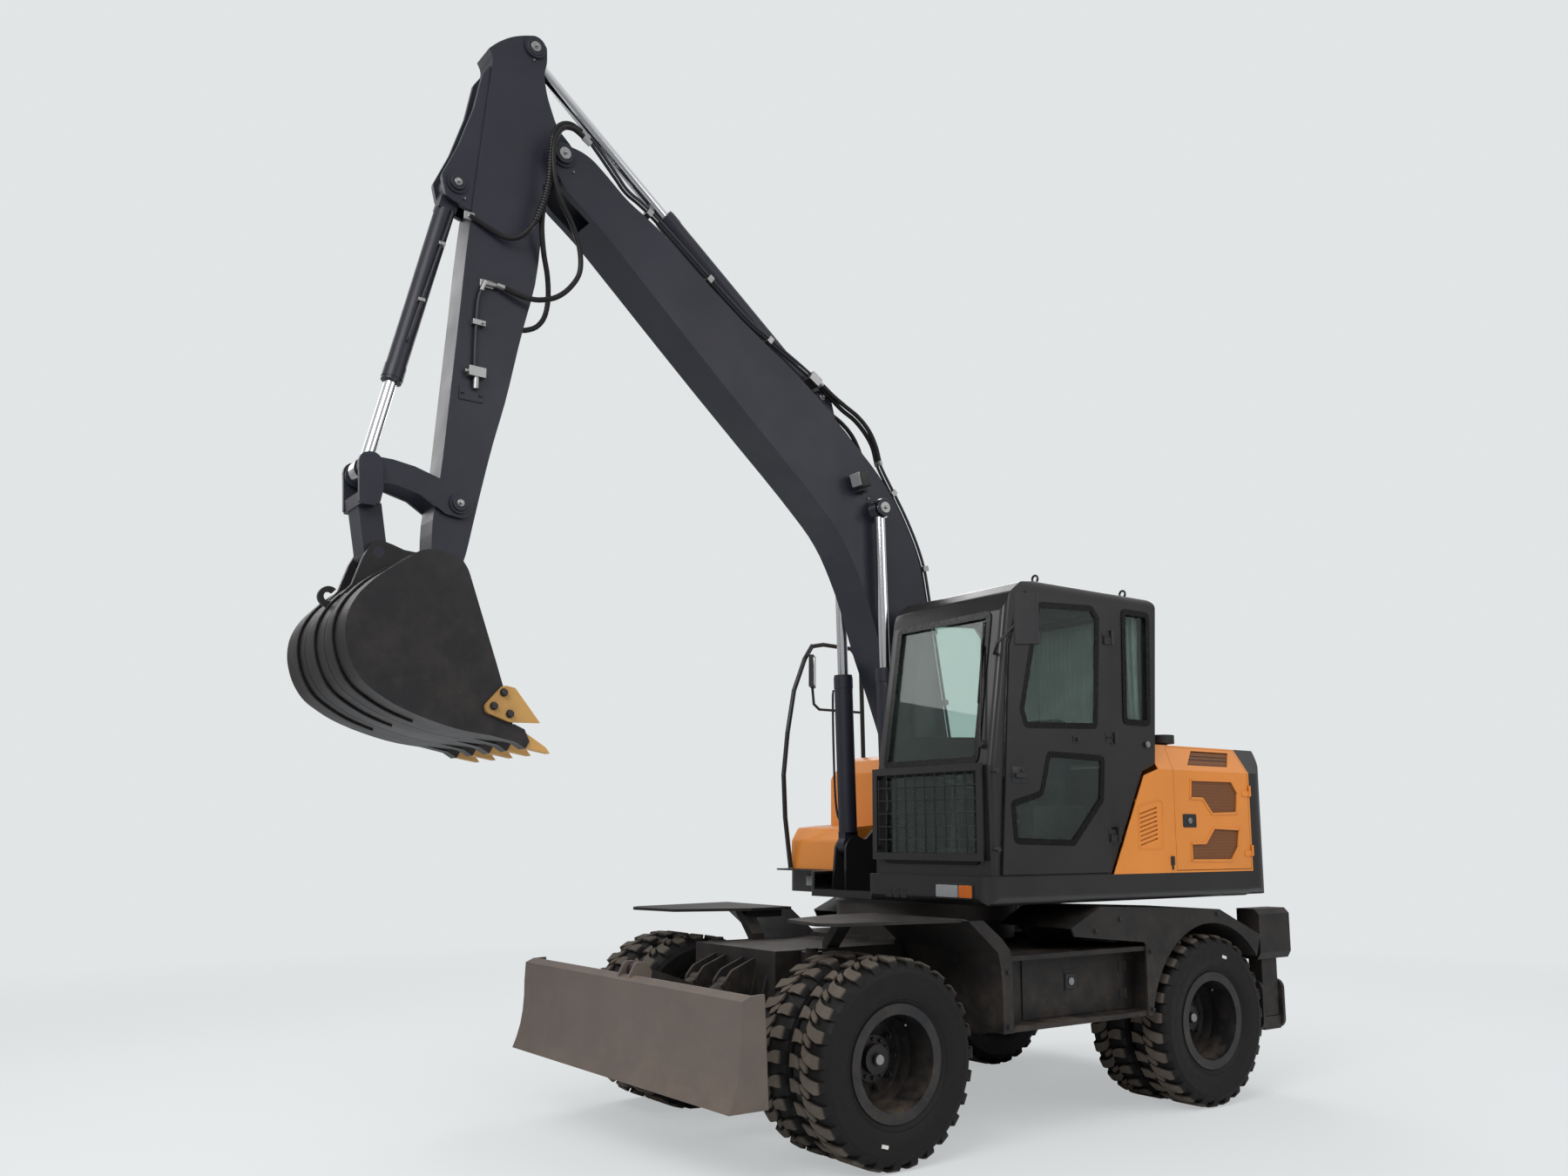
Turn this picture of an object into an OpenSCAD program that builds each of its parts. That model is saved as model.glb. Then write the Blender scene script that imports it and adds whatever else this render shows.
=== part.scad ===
// Wheeled excavator on twin tyres, with a front dozer blade, rear outriggers, a slewing
// upper structure, cab, one-piece boom, arm and bucket. Real size, in millimetres.
// X points to the cab side, -Y to the front and +Z up. The origin is on the ground under
// the centre of the slew ring. Everything is drawn in its parked working pose.

/* [Wheels] */
// Outside diameter of a tyre
tyre_d = 1050; // [900:10:1300]
// Width of one tyre
tyre_w = 278; // [220:2:320]
// Distance between the two tyres of a pair
twin_pitch = 325; // [300:5:400]
// Side position of the plane where the two wheel discs meet
disc_x = 948.5; // [900:0.5:1050]
// Diameter of the rim's bead seat
rim_d = 508; // [450:2:600]
// Wall thickness of the rims
rim_t = 12; // [8:1:20]

/* [Chassis] */
// Half width of the frame box
frame_half = 420; // [380:5:460]
// Plate thickness of the frame
frame_t = 20; // [12:1:30]
// Outside of the toolboxes, from the centre
toolbox_x = 1240; // [1150:5:1400]
// Width of the dozer blade
blade_w = 2430; // [2000:10:2800]

/* [Upper structure] */
// Width of the upper structure
body_w = 2480; // [2300:10:2800]
// Width of the cab's shell
cab_w = 1005; // [900:5:1100]
// Wall thickness of the cab's shell
cab_t = 40; // [25:1:60]
// Sheet thickness of the hood
hood_t = 6; // [4:1:12]

/* [Boom and arm] */
// Width of the boom
boom_w = 300; // [240:5:360]
// Plate thickness of the boom and arm
boom_t = 16; // [10:1:25]
// Width of the arm
arm_w = 180; // [150:5:220]
// Distance between the two boom cylinders
boom_cyl_pitch = 440; // [400:5:520]

/* [Bucket] */
// Width of the bucket
bucket_w = 1000; // [600:10:1300]
// Number of teeth
teeth = 5; // [3:1:7]

/* [Hidden] */

$fn = 48;
round_fn = 96;
fit = 0.3;          // seat between neighbouring pieces
pin_gap = 1;        // difference between a bore and its pin

// Larger tyres lift everything above the axles
lift = (tyre_d - 1050) / 2;
axle_z = tyre_d / 2;
front_y = -1300;
rear_y = 1295;
half = body_w / 2;

// Colours
orange = [0.78, 0.42, 0.12];
dark = [0.14, 0.13, 0.13];
slate = [0.16, 0.165, 0.19];
steel = [0.72, 0.73, 0.75];
rubber = [0.06, 0.06, 0.065];
glass = [0.45, 0.62, 0.62, 0.35];

// ---------------------------------------------------------------- outline helpers

function unit(v) = v / norm(v);
function clamp1(a) = max(-1, min(1, a));
function turn(a) = ((a + 540) % 360) - 180;

// Arc that rounds corner q between p and r with the given radius
function corner(p, q, r, radius, step = 12) =
    let (
        u = unit(p - q),
        v = unit(r - q),
        bend = acos(clamp1(u * v)),
        d = radius / tan(bend / 2),
        c = q + unit(u + v) * radius / sin(bend / 2),
        s = q + u * d - c,
        e = q + v * d - c,
        a0 = atan2(s.y, s.x),
        sweep = turn(atan2(e.y, e.x) - a0),
        n = max(2, ceil(abs(sweep) / step))
    )
    [for (i = [0:n]) c + radius * [cos(a0 + sweep * i / n), sin(a0 + sweep * i / n)]];

// Outline whose points are [a, b] for a sharp corner or [a, b, radius] for a round one
function rounded(pts) =
    let (n = len(pts))
    [for (i = [0:n - 1])
        let (
            p = pts[(i + n - 1) % n],
            q = pts[i],
            r = pts[(i + 1) % n]
        )
        each (len(q) > 2 ? corner([p.x, p.y], [q.x, q.y], [r.x, r.y], q[2]) : [q])];

// The same, with each gentle bend that has no radius drawn as the widest arc that fits
function flowing(pts, share = 0.45) =
    let (n = len(pts))
    [for (i = [0:n - 1])
        let (
            p = pts[(i + n - 1) % n],
            q = pts[i],
            r = pts[(i + 1) % n],
            a = [p.x - q.x, p.y - q.y],
            b = [r.x - q.x, r.y - q.y],
            bend = acos(clamp1(unit(a) * unit(b))),
            wide = share * min(norm(a), norm(b)) * tan(bend / 2)
        )
        each (len(q) > 2 ? corner([p.x, p.y], [q.x, q.y], [r.x, r.y], q[2])
            : bend > 140 && bend < 179 ? corner([p.x, p.y], q, [r.x, r.y], wide, 5)
            : [[q.x, q.y]])];

// Outline drawn inwards by d; the outline runs anticlockwise
function shrunk(pts, d) =
    let (n = len(pts))
    [for (i = [0:n - 1])
        let (
            p = pts[(i + n - 1) % n],
            q = pts[i],
            r = pts[(i + 1) % n],
            u = unit(q - p),
            v = unit(r - q),
            nu = [-u.y, u.x],
            nv = [-v.y, v.x]
        )
        q + (nu + nv) * d / (1 + nu * nv)];

// The same for an outline that still has its corner radii; inner radii shrink with it
function inset_round(pts, d) =
    let (p = shrunk([for (q = pts) [q.x, q.y]], d))
    rounded([for (i = [0:len(pts) - 1])
        len(pts[i]) > 2 ? [p[i].x, p[i].y, max(3, pts[i][2] - d)] : p[i]]);

// The same for an open line, whose ends move square to its first and last stretch
function shrunk_open(pts, d) =
    let (n = len(pts))
    [for (i = [0:n - 1])
        let (
            u = unit(pts[min(i + 1, n - 1)] - pts[max(i - 1, 0)]),
            w = [-u.y, u.x]
        )
        pts[i] + w * d];

function reversed(pts) = [for (i = [len(pts) - 1:-1:0]) pts[i]];
function ring_points(at, r, a0, a1, n) =
    [for (i = [0:n]) at + r * [cos(a0 + (a1 - a0) * i / n), sin(a0 + (a1 - a0) * i / n)]];

// ---------------------------------------------------------------- solid helpers

// Side outline [y, z] run along X
module side_run(x0, x1, pts) {
    translate([x0, 0, lift])
        rotate([90, 0, 90])
        linear_extrude(x1 - x0)
        polygon(pts);
}

// Plan outline [x, y] run upwards
module plan_run(z0, z1, pts) {
    translate([0, 0, z0])
        linear_extrude(z1 - z0)
        polygon(pts);
}

// Front outline [x, z] run along Y
module front_run(y0, y1, pts) {
    translate([0, y1, lift])
        rotate([90, 0, 0])
        linear_extrude(y1 - y0)
        polygon(pts);
}

// Plain block between two corners
module block(a, b) {
    translate([a.x, a.y, a.z + lift])
        cube(b - a);
}

// Round bar along X at [y, z]
module bar_x(x0, x1, at, d) {
    translate([x0, at.x, at.y + lift])
        rotate([0, 90, 0])
        cylinder(d = d, h = x1 - x0);
}

// Round bar along Z at [x, y]
module bar_z(z0, z1, at, d) {
    translate([at.x, at.y, z0])
        cylinder(d = d, h = z1 - z0);
}

// Children drawn up Z from point a towards point b, both [y, z], in the plane at x
module along(x, a, b) {
    translate([x, a.x, a.y + lift])
        rotate([atan2(b.y - a.y, b.x - a.x) - 90, 0, 0])
        children();
}

// Round tube through a list of [x, y, z] points
module tube(points, d) {
    for (i = [0:len(points) - 2]) {
        p = points[i];
        v = points[i + 1] - p;
        translate([p.x, p.y, p.z + lift])
            rotate([0, acos(clamp1(v.z / norm(v))), atan2(v.y, v.x)])
            cylinder(d = d, h = norm(v), $fn = 32);
    }
    if (len(points) > 2)
        for (i = [1:len(points) - 2])
            translate([points[i].x, points[i].y, points[i].z + lift])
                sphere(d = d * 1.03, $fn = 32);
}

module both_sides() {
    children();
    mirror([1, 0, 0])
        children();
}

// Hydraulic barrel from its base pin a towards b; the full tube starts at neck
module barrel(x, a, b, size, d, bore, rod_d, eye_d, eye_w, pin_d, neck, head = 60) {
    along(x, a, b)
        difference() {
            union() {
                translate([0, 0, neck])
                    cylinder(d = d, h = size - neck);
                translate([0, 0, size - head - 30])
                    cylinder(d = d + 6, h = head + 14);
                translate([-eye_w / 2, -eye_d * 0.38, 0])
                    cube([eye_w, eye_d * 0.76, neck + 5]);
                translate([-eye_w / 2, 0, 0])
                    rotate([0, 90, 0])
                    cylinder(d = eye_d, h = eye_w);
            }
            translate([-eye_w, 0, 0])
                rotate([0, 90, 0])
                cylinder(d = pin_d + pin_gap, h = eye_w * 2);
            translate([0, 0, neck + 15])
                cylinder(d = bore, h = size - head - neck - 15);
            translate([0, 0, size - head - 1])
                cylinder(d = rod_d + pin_gap, h = head + 10);
        }
}

// Piston rod from its eye at b back towards a, with the middle of the pin it carries
module piston_rod(x, a, b, size, d, bore, eye_d, eye_w, pin_d, pin_w, piston = 60) {
    along(x, b, a) {
        translate([0, 0, eye_d * 0.35])
            cylinder(d = d, h = size - eye_d * 0.35);
        translate([0, 0, size - piston])
            cylinder(d = bore - pin_gap, h = piston);
        translate([-eye_w / 2, 0, 0])
            rotate([0, 90, 0])
            cylinder(d = eye_d, h = eye_w);
        translate([-pin_w / 2, 0, 0])
            rotate([0, 90, 0])
            cylinder(d = pin_d, h = pin_w);
    }
}

// ---------------------------------------------------------------- pins, [y, z]

frame_front = -1500;
frame_rear = 2010;
frame_top = 1035;
blade_low_pin = [-2130, 600];
arms_pin = [-1620, 420];
blade_high_pin = [-2130, 940];
link_pin = [-1620, 760];
blade_cyl_top = [-1650, 845];
blade_cyl_foot = [-2060, 600];
boom_foot = [100, 1870];
boom_cyl_base = [-400, 1610];
boom_cyl_top = [-478, 3781];
arm_pivot = [-2754, 5528];
arm_top_pin = [-2924, 6163];
arm_cyl_base = [-842, 4510];
bucket_cyl_base = [-3340, 5193];
idler_pin = [-3258, 3395];
rod_pin = [-3732, 3519];
bucket_pin = [-3310, 3020];
link_foot = [-3668, 3078];
boom_x = -100;
frame_box_under = 639.7;

// ---------------------------------------------------------------- chassis

frame_side = [
    [-1500, 1035], [-1500, 720], [-1330, 720], [-1270, 800], [-860, 800], [-700, 620],
    [760, 620], [980, 760], [1560, 760], [1700, 640], [2010, 640], [2010, 1035]
];

module chassis_frame() {
    color(dark) {
        difference() {
            side_run(-frame_half, frame_half, frame_side);
            side_run(-frame_half + frame_t, frame_half - frame_t, shrunk(frame_side, frame_t));
            // opening in the top plate under the slew ring
            bar_z(900, 1100, [0, 0], 700);
        }
        // round seat of the slew ring
        difference() {
            union() {
                bar_z(frame_top, 1160, [0, 0], 1120);
                plan_run(frame_top, 1060, [[-420, -640], [420, -640], [420, 640], [-420, 640]]);
            }
            bar_z(frame_top - 5, 1200, [0, 0], 1060);
        }
        // ears for the blade's arms, its link and its cylinders
        for (x = [-345, -235, 215, 325])
            side_run(x, x + 20, rounded([
                [-1500, 900], [-1500, 400], [-1540, 360], [-1620, 360, 40], [-1690, 420, 40],
                [-1620, 500, 30]
            ]));
        for (x = [-70, 50])
            side_run(x, x + 20, rounded([
                [-1500, 840], [-1500, 690], [-1620, 700, 50], [-1690, 760, 40], [-1620, 820, 50]
            ]));
        for (x = [-215, -105, 85, 195])
            side_run(x, x + 20, rounded([
                [-1500, 985], [-1500, 760], [-1650, 785, 50], [-1715, 845, 40], [-1650, 925, 60]
            ]));
        bar_x(-347, -213, arms_pin, 50);
        bar_x(213, 347, arms_pin, 50);
        bar_x(-72, 72, link_pin, 44);
        bar_x(-217, -83, blade_cyl_top, 44);
        bar_x(83, 217, blade_cyl_top, 44);
        bar_z(400, 722, [330, -1480], 30);
        bar_z(400, 722, [-330, -1480], 30);
    }
}

module slew_ring() {
    color(steel)
        difference() {
            bar_z(1160, 1261.5, [0, 0], 1180);
            bar_z(1150, 1270, [0, 0], 1040);
        }
}

// Thin plate of a front fender, seen from above on the left side
front_fender_plan = [
    [414, -1100], [600, -1552, 40], [980, -1636, 60], [1060, -1560, 60], [1190, -783], [430, -783]
];

// Lines of the arch behind the front wheel, top to bottom: towards the wheel, and its outer edge
arch_back = [
    [-809, 1214], [-700, 1126], [-592, 1038], [-573, 960], [-566, 900], [-560, 800], [-560, 605]
];
arch_front = [[-484, 605], [-484, 974], [-500, 1050], [-560, 1112], [-700, 1214]];

module front_fenders() {
    color(dark)
        both_sides() {
            plan_run(1205, 1222, rounded(front_fender_plan));
            // folded edge
            side_run(470, 500, [[-1100, 1205], [-1100, 1160], [-830, 1160], [-830, 1205]]);
            // bent strut down to the frame
            front_run(-1130, -1040, [
                [360, 1035], [400, 1035], [560, 1205], [490, 1205], [360, 1070]
            ]);
            // mudguard sheet behind the wheel, then its flange along the outer edge
            side_run(420, toolbox_x - 12, concat(arch_back, reversed(shrunk_open(arch_back, 8))));
            side_run(toolbox_x - 12, toolbox_x, concat(arch_back, arch_front));
        }
}

// Line of the rear fender's arch round the wheel, front to back
fender_arch = ring_points([rear_y, 525], 600, 172, 38, 20);
rear_fender_side = concat(
    [[655, 605], [700, 605]],
    fender_arch,
    [[1813, 1029], [1393, 1207], [259, 1258], [0, 1143], [25, 1095], [640, 1036], [655, 1020]]
);

module rear_fenders() {
    color(dark)
        both_sides() {
            // outer side plate, down to the toolbox's rear end
            side_run(toolbox_x - 12, toolbox_x, rear_fender_side);
            // inner side plate, over the toolbox
            side_run(640, 652, concat(
                [[715, 1012]],
                ring_points([rear_y, 525], 600, 126, 38, 14),
                [[1813, 1029], [1393, 1207], [259, 1258], [100, 1186], [300, 1012]]
            ));
            // mudguard sheet over the wheel
            side_run(652, toolbox_x - 12, concat(
                ring_points([rear_y, 525], 600, 126, 38, 14),
                ring_points([rear_y, 525], 608, 38, 126, 14)
            ));
            // top sheet, folded down at both ends
            side_run(652, toolbox_x - 12, [
                [1813, 1029], [1393, 1207], [259, 1258], [0, 1143], [6, 1137], [261, 1250],
                [1391, 1199], [1806, 1021]
            ]);
        }
}

bay_x = toolbox_x - 140;            // face of the toolbox, set back behind its flanges
bay_front = -559;
bay_rear = 714;

module toolboxes() {
    flange_x = toolbox_x - 12 - fit;
    color(dark) {
        difference() {
            block([420, bay_front + 9, 605], [bay_x, bay_rear, 1011]);
            block([426, bay_front + 15, 611], [bay_x - 6, bay_rear - 6, 1005]);
            block([bay_x - 30, -262, 655], [bay_x + 5, 585, 965]);
        }
        difference() {
            block([-bay_x, bay_front + 9, 605], [-420, bay_rear, 1011]);
            block([-bay_x + 6, bay_front + 15, 611], [-426, bay_rear - 6, 1005]);
        }
        // top plate, bottom ledge and end plates round each bay
        both_sides() {
            block([bay_x - 1, bay_front + 9, 985], [flange_x, bay_rear, 1011]);
            block([bay_x - 1, bay_front + 9, 605], [flange_x, bay_rear, 632]);
            block([bay_x - 1, bay_rear - 8, 605], [flange_x, bay_rear, 1011]);
        }
    }
}

module toolbox_door() {
    hinge_y = 606;
    color(dark) {
        block([bay_x + fit, -276, 642], [bay_x + 8, hinge_y - 8, 978]);
        for (z = [700, 860])
            bar_z(z, z + 60, [bay_x + 12, hinge_y], 14);
        for (z = [700, 860])
            block([bay_x + 6, hinge_y - 60, z], [bay_x + 12, hinge_y, z + 60]);
        // raised plate round the lock
        block([bay_x + 8, 68, 764], [bay_x + 11, 168, 898]);
    }
}

module front_axle() {
    color(dark) {
        translate([0, front_y, axle_z])
            sphere(d = 330);
        bar_x(-600, 600, [front_y, 525], 150);
        block([-140, front_y - 60, 600], [140, front_y + 25, 720]);
        both_sides() {
            // yoke round the kingpin
            block([560, front_y - 80, 345], [628, front_y + 80, 705]);
            block([560, front_y - 60, 655], [745, front_y + 60, 705]);
            block([560, front_y - 60, 345], [745, front_y + 60, 395]);
            bar_z(395, 450, [700, front_y], 60);
            bar_z(600, 655, [700, front_y], 60);
            // oscillation lock can
            bar_z(600, 1030, [490, front_y], 120);
            bar_z(1030, 1050, [490, front_y], 70);
            block([frame_half, front_y - 40, 860], [440, front_y + 40, 960]);
        }
    }
}

module rear_axle() {
    color(dark) {
        translate([0, rear_y, axle_z])
            sphere(d = 340);
        bar_x(-850, 850, [rear_y, 525], 170);
        both_sides() {
            bar_x(640, 700, [rear_y, 525], 330);
            bar_x(850, 915, [rear_y, 525], 159);
            block([260, rear_y - 90, 600], [400, rear_y + 90, 760]);
        }
    }
}

module driveline() {
    color(dark) {
        block([-150, 330, 400], [150, 640, 620]);
        along(0, [1124.7, 525], [640, 520])
            cylinder(d = 80, h = 485);
        along(0, [330, 520], [-1134.7, 525])
            cylinder(d = 70, h = 1464.7);
    }
}

// Head box of an outrigger's guide, seen from the front
outrigger_head = [
    [1035, 862], [1180, 862], [1205, 905], [1205, 1155], [1170, 1190], [1035, 1190]
];

module outrigger_boxes() {
    color(dark) {
        both_sides() {
            difference() {
                union() {
                    block([1050, 1946, 490], [1150, 2114, 870]);
                    front_run(1860, 2205, outrigger_head);
                    for (y = [1905, 2130])
                        front_run(y, y + 25, rounded([
                            [420, 400], [1172, 400, 60], [1172, 720, 60], [420, 720]
                        ]));
                    block([420, 1920, 420], [1051, 2140, 700]);
                }
                block([1064, 1960, 480], [1136, 2100, 1160]);
                block([440, 1940, 440], [1040, 2120, 680]);
            }
        }
        block([-420, 1920, 420], [420, 2140, frame_box_under]);
    }
}

module leg(side) {
    color(dark)
        mirror([side < 0 ? 1 : 0, 0, 0]) {
            block([1064.5, 1960.5, 470], [1135.5, 2099.5, 1150]);
            block([1056, 1938, 402], [1155, 2122, 485]);
        }
}

module outrigger_leg_left() {
    leg(1);
}

module outrigger_leg_right() {
    leg(-1);
}

module knuckle(side) {
    color(dark)
        mirror([side < 0 ? 1 : 0, 0, 0])
            union() {
                union() {
                    bar_z(450.5, 599.5, [700, front_y], 130);
                    bar_x(690, 860, [front_y, 525], 140);
                    bar_x(860, 915, [front_y, 525], 159);
                }
            }
}

module knuckle_left() {
    knuckle(1);
}

module knuckle_right() {
    knuckle(-1);
}

// ---------------------------------------------------------------- wheels

// Tyre section as [radius, across], hollow, with the beads on the rim's seats
tyre_outer = [
    [254 + fit, -98], [300, -100], [350, -132], [400, -139], [450, -136], [500, -126],
    [519, -112], [525, -88], [525, 88], [519, 112], [500, 126], [450, 136], [400, 139],
    [350, 132], [300, 100], [254 + fit, 98]
];
tyre_inner = [
    [254 + fit, 72], [296, 76], [350, 106], [400, 114], [450, 112], [480, 98],
    [480, -98], [450, -112], [400, -114], [350, -106], [296, -76], [254 + fit, -72]
];

module tyre_ring(x) {
    k = tyre_w / 278;
    g = (tyre_d - 1050) / 2;
    s = (rim_d - 508) / 2;
    pts = [for (p = concat(tyre_outer, tyre_inner))
        [p.x + (p.x > 260 ? g : s), p.y * k]];
    translate([x, 0, 0])
        rotate([0, 90, 0])
        rotate_extrude($fn = round_fn)
        polygon(pts);
}

module tyres(y, side) {
    color(rubber)
        translate([0, y, axle_z])
        for (dx = [-twin_pitch / 2, twin_pitch / 2])
            tyre_ring(side * (disc_x + dx));
}

// Rim section as [radius, across], from the disc's mating face outwards
module rim_half(dir) {
    s = rim_d / 2;
    o = twin_pitch / 2;
    w = 100 * tyre_w / 278 + fit;
    pts = [
        [118, 0], [216, 0], [232, 20], [s - rim_t, o - w - 12], [s + 40, o - w - 12],
        [s + 40, o - w], [s, o - w], [s, o + w], [s + 42, o + w], [s + 42, o + w + 12],
        [s - rim_t, o + w + 12], [s - rim_t, o - w + 30], [220, 34], [206, 14], [118, 14]
    ];
    rotate([0, 90, 0])
        rotate_extrude($fn = round_fn)
        polygon([for (p = pts) [p.x, p.y * dir]]);
}

module rims(y, side) {
    color(slate)
        translate([side * disc_x, y, axle_z]) {
            rim_half(1);
            rim_half(-1);
            // planetary hub, hollow round the axle's stub
            rotate([0, 90 * side, 0])
                difference() {
                    union() {
                        translate([0, 0, -80])
                            cylinder(d = 236, h = 150);
                        translate([0, 0, 60])
                            cylinder(d = 150, h = 50);
                        translate([0, 0, 110])
                            cylinder(d = 65, h = 18);
                    }
                    translate([0, 0, -90])
                        cylinder(d = 160, h = 130);
                }
        }
}

module tyres_front_left() {
    tyres(front_y, 1);
}

module tyres_front_right() {
    tyres(front_y, -1);
}

module tyres_rear_left() {
    tyres(rear_y, 1);
}

module tyres_rear_right() {
    tyres(rear_y, -1);
}

module rims_front_left() {
    rims(front_y, 1);
}

module rims_front_right() {
    rims(front_y, -1);
}

module rims_rear_left() {
    rims(rear_y, 1);
}

module rims_rear_right() {
    rims(rear_y, -1);
}

// ---------------------------------------------------------------- dozer blade

module blade_arms() {
    color(dark)
        difference() {
            union() {
                for (x = [-280, 280]) {
                    bar_x(x - 44, x + 44, arms_pin, 110);
                    bar_x(x - 44, x + 44, blade_low_pin, 110);
                    side_run(x - 38, x + 38, [
                        [-1640, 373], [-1760, 388], [-2150, 550], [-2115, 652], [-1900, 588],
                        [-1602, 472]
                    ]);
                }
                side_run(-240, 240, [
                    [-1960, 470], [-2090, 522], [-2085, 562], [-1960, 520]
                ]);
                for (x = [-195, -125, 105, 175])
                    side_run(x, x + 20, rounded([
                        [-1990, 515], [-2095, 550], [-2095, 620, 30], [-2040, 640, 30],
                        [-1990, 580, 20]
                    ]));
            }
            for (p = [arms_pin, blade_low_pin])
                bar_x(-400, 400, p, 51);
        }
}

// Mouldboard section, front face then back face
blade_face = [
    [-2312, 395], [-2288, 455], [-2266, 530], [-2253, 609], [-2247, 700], [-2248, 788],
    [-2243, 898], [-2192, 920]
];

module blade() {
    w = blade_w / 2;
    back = [for (p = blade_face) [p.x + 16, p.y]];
    color(dark) {
        side_run(-w + 20, w - 20, concat(blade_face, reversed(back)));
        both_sides()
            side_run(w - 20, w, concat(blade_face, [[-2116, 923], [-2089, 395]]));
        // cutting edge box and stiffener behind the face
        side_run(-w + 20, w - 20, [[-2296, 395], [-2200, 395], [-2200, 411], [-2290, 411]]);
        side_run(-w + 20, w - 20, [
            [-2237, 609], [-2180, 640], [-2180, 800], [-2232, 830], [-2232, 814],
            [-2196, 792], [-2196, 648], [-2237, 626]
        ]);
        // ribs that carry the arms and the link
        for (x = [-350, -232, 212, 330])
            side_run(x, x + 20, rounded([
                [-2254, 411], [-2200, 411], [-2120, 540], [-2075, 600, 40], [-2120, 680, 30],
                [-2180, 800], [-2232, 814], [-2231, 700], [-2237, 609]
            ]));
        for (x = [-70, 50])
            side_run(x, x + 20, rounded([
                [-2227, 898], [-2180, 988, 30], [-2110, 988, 40], [-2075, 930, 40],
                [-2120, 800], [-2180, 780], [-2196, 792], [-2232, 814]
            ]));
        for (x = [-290, 270])
            bar_x(x - 62, x + 82, blade_low_pin, 50);
        bar_x(-70, 70, blade_high_pin, 44);
    }
}

module blade_link() {
    color(dark)
        difference() {
            union() {
                along(0, link_pin, blade_high_pin) {
                    translate([-25, -28, 0])
                        cube([50, 56, 541]);
                    for (z = [0, 540.8])
                        translate([-45, 0, z])
                            rotate([0, 90, 0])
                            cylinder(d = 86, h = 90);
                }
            }
            bar_x(-100, 100, link_pin, 45);
            bar_x(-100, 100, blade_high_pin, 45);
        }
}

module blade_barrels() {
    color(dark)
        for (x = [-150, 150])
            barrel(x, blade_cyl_top, blade_cyl_foot, 380, 84, 68, 42, 80, 82, 44, 45, 35);
}

module blade_rods() {
    color(steel)
        for (x = [-150, 150])
            piston_rod(x, blade_cyl_top, blade_cyl_foot, 405, 42, 68, 60, 46, 36, 49, 25);
}

// ---------------------------------------------------------------- upper structure

deck_z = 1284;
roll = 50;          // radius of the skirt's lower edge
floor_z = 1443;

// Outer edge of the deck seen from above; the right-hand front corner is set back
deck_edge = [
    [-half, -240, 90], [-560, -240, 30], [-440, -625, 40], [190, -625, 30], [235, -660, 40],
    [half, -660, 90], [half, 1732], [-half, 1732]
];

// Floor plate inside the rolled lower edge of the skirts
deck_floor = [
    [-1187, -186, 38], [-523, -186], [-402, -572], [210, -572], [250, -607], [1187, -607, 38],
    [1187, 1679], [-1187, 1679]
];

main_rib = [
    [-470, 1300], [900, 1300], [1671, 1300], [1671, 1500], [900, 1560], [450, 1750],
    [250, 1950, 60], [100, 2010, 90], [-20, 1930, 80], [-180, 1760, 60], [-310, 1640, 40],
    [-400, 1690, 60], [-470, 1610, 60]
];

module deck() {
    color(dark) {
        // floor over the slew ring's upper race
        difference() {
            union() {
                plan_run(deck_z, 1300, rounded(deck_floor));
                bar_z(1262, 1285, [0, 0], 1180);
            }
            bar_z(1250, 1310, [0, 0], 500);
        }
        // main ribs that carry the boom's foot
        for (x = [boom_x - 176, boom_x + 156])
            side_run(x, x + 20, rounded(main_rib));
        // cab mounts
        for (x = [320, 1120])
            for (y = [-500, 300])
                bar_z(1299, floor_z - fit, [x, y], 90);
        // outer lugs of the boom cylinders' base pins
        for (x = [boom_x - 279, boom_x + 259])
            side_run(x, x + 20, rounded([
                [-500, 1300], [-250, 1300], [-330, 1610, 60], [-400, 1690, 60], [-470, 1610, 60]
            ]));
        bar_x(boom_x - 279, boom_x - 156, boom_cyl_base, 80);
        bar_x(boom_x + 156, boom_x + 279, boom_cyl_base, 80);
        bar_x(boom_x - 176, boom_x + 176, boom_foot, 110);
    }
}

module skirts() {
    color(dark) {
        difference() {
            intersection() {
                plan_run(deck_z, floor_z, rounded(deck_edge));
                // lower edge rolled in
                front_run(-700, 1740, rounded([
                    [-half, 1500], [-half, deck_z, roll], [half, deck_z, roll], [half, 1500]
                ]));
                side_run(-half, half, rounded([
                    [-660, 1500], [-660, deck_z, roll], [1740, deck_z], [1740, 1500]
                ]));
            }
            plan_run(1270, 1345, shrunk(rounded(deck_floor), -0.7));
            plan_run(1340, 1427, inset_round(deck_edge, 7.7));
            bar_z(1270, 1300, [0, 0], 1192);
            plan_run(1420, 1450, inset_round(deck_edge, 60));
            // gap in front of the boom
            block([-395, -660, 1330], [180, -400, 1450]);
        }
        // step plate ahead of the right-hand boxes
        block([-half + 15, -340, 1431], [-560, -235, floor_z]);
    }
}

cab_side = [
    [-600, 1443], [381, 1443], [700, 2066, 30], [827, 2114, 30], [892, 3130, 50],
    [840, 3165, 30], [-142, 3165], [-330, 3140, 60], [-420, 3070, 50], [-470, 2960],
    [-606, 2060]
];
door_outline = [
    [-545, 1450], [370, 1450, 20], [424, 3085, 40], [-320, 3085, 60], [-452, 2753]
];
upper_window = [
    [-336, 2289, 40], [273, 2314, 40], [320, 2980, 30], [260, 3047, 40], [-210, 3017, 40],
    [-370, 2395, 40]
];
lower_window = [
    [-437, 1630, 40], [42, 1622, 60], [301, 1874, 60], [326, 2140, 30], [-160, 2142, 30],
    [-218, 1920, 60], [-456, 1863, 30]
];
quarter_window = [
    [540, 2360, 50], [790, 2360, 50], [819, 3060, 50], [560, 3060, 50]
];
windshield = [[310, 2085, 40], [1115, 2085, 40], [1115, 2950, 40], [310, 2950, 40]];
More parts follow.
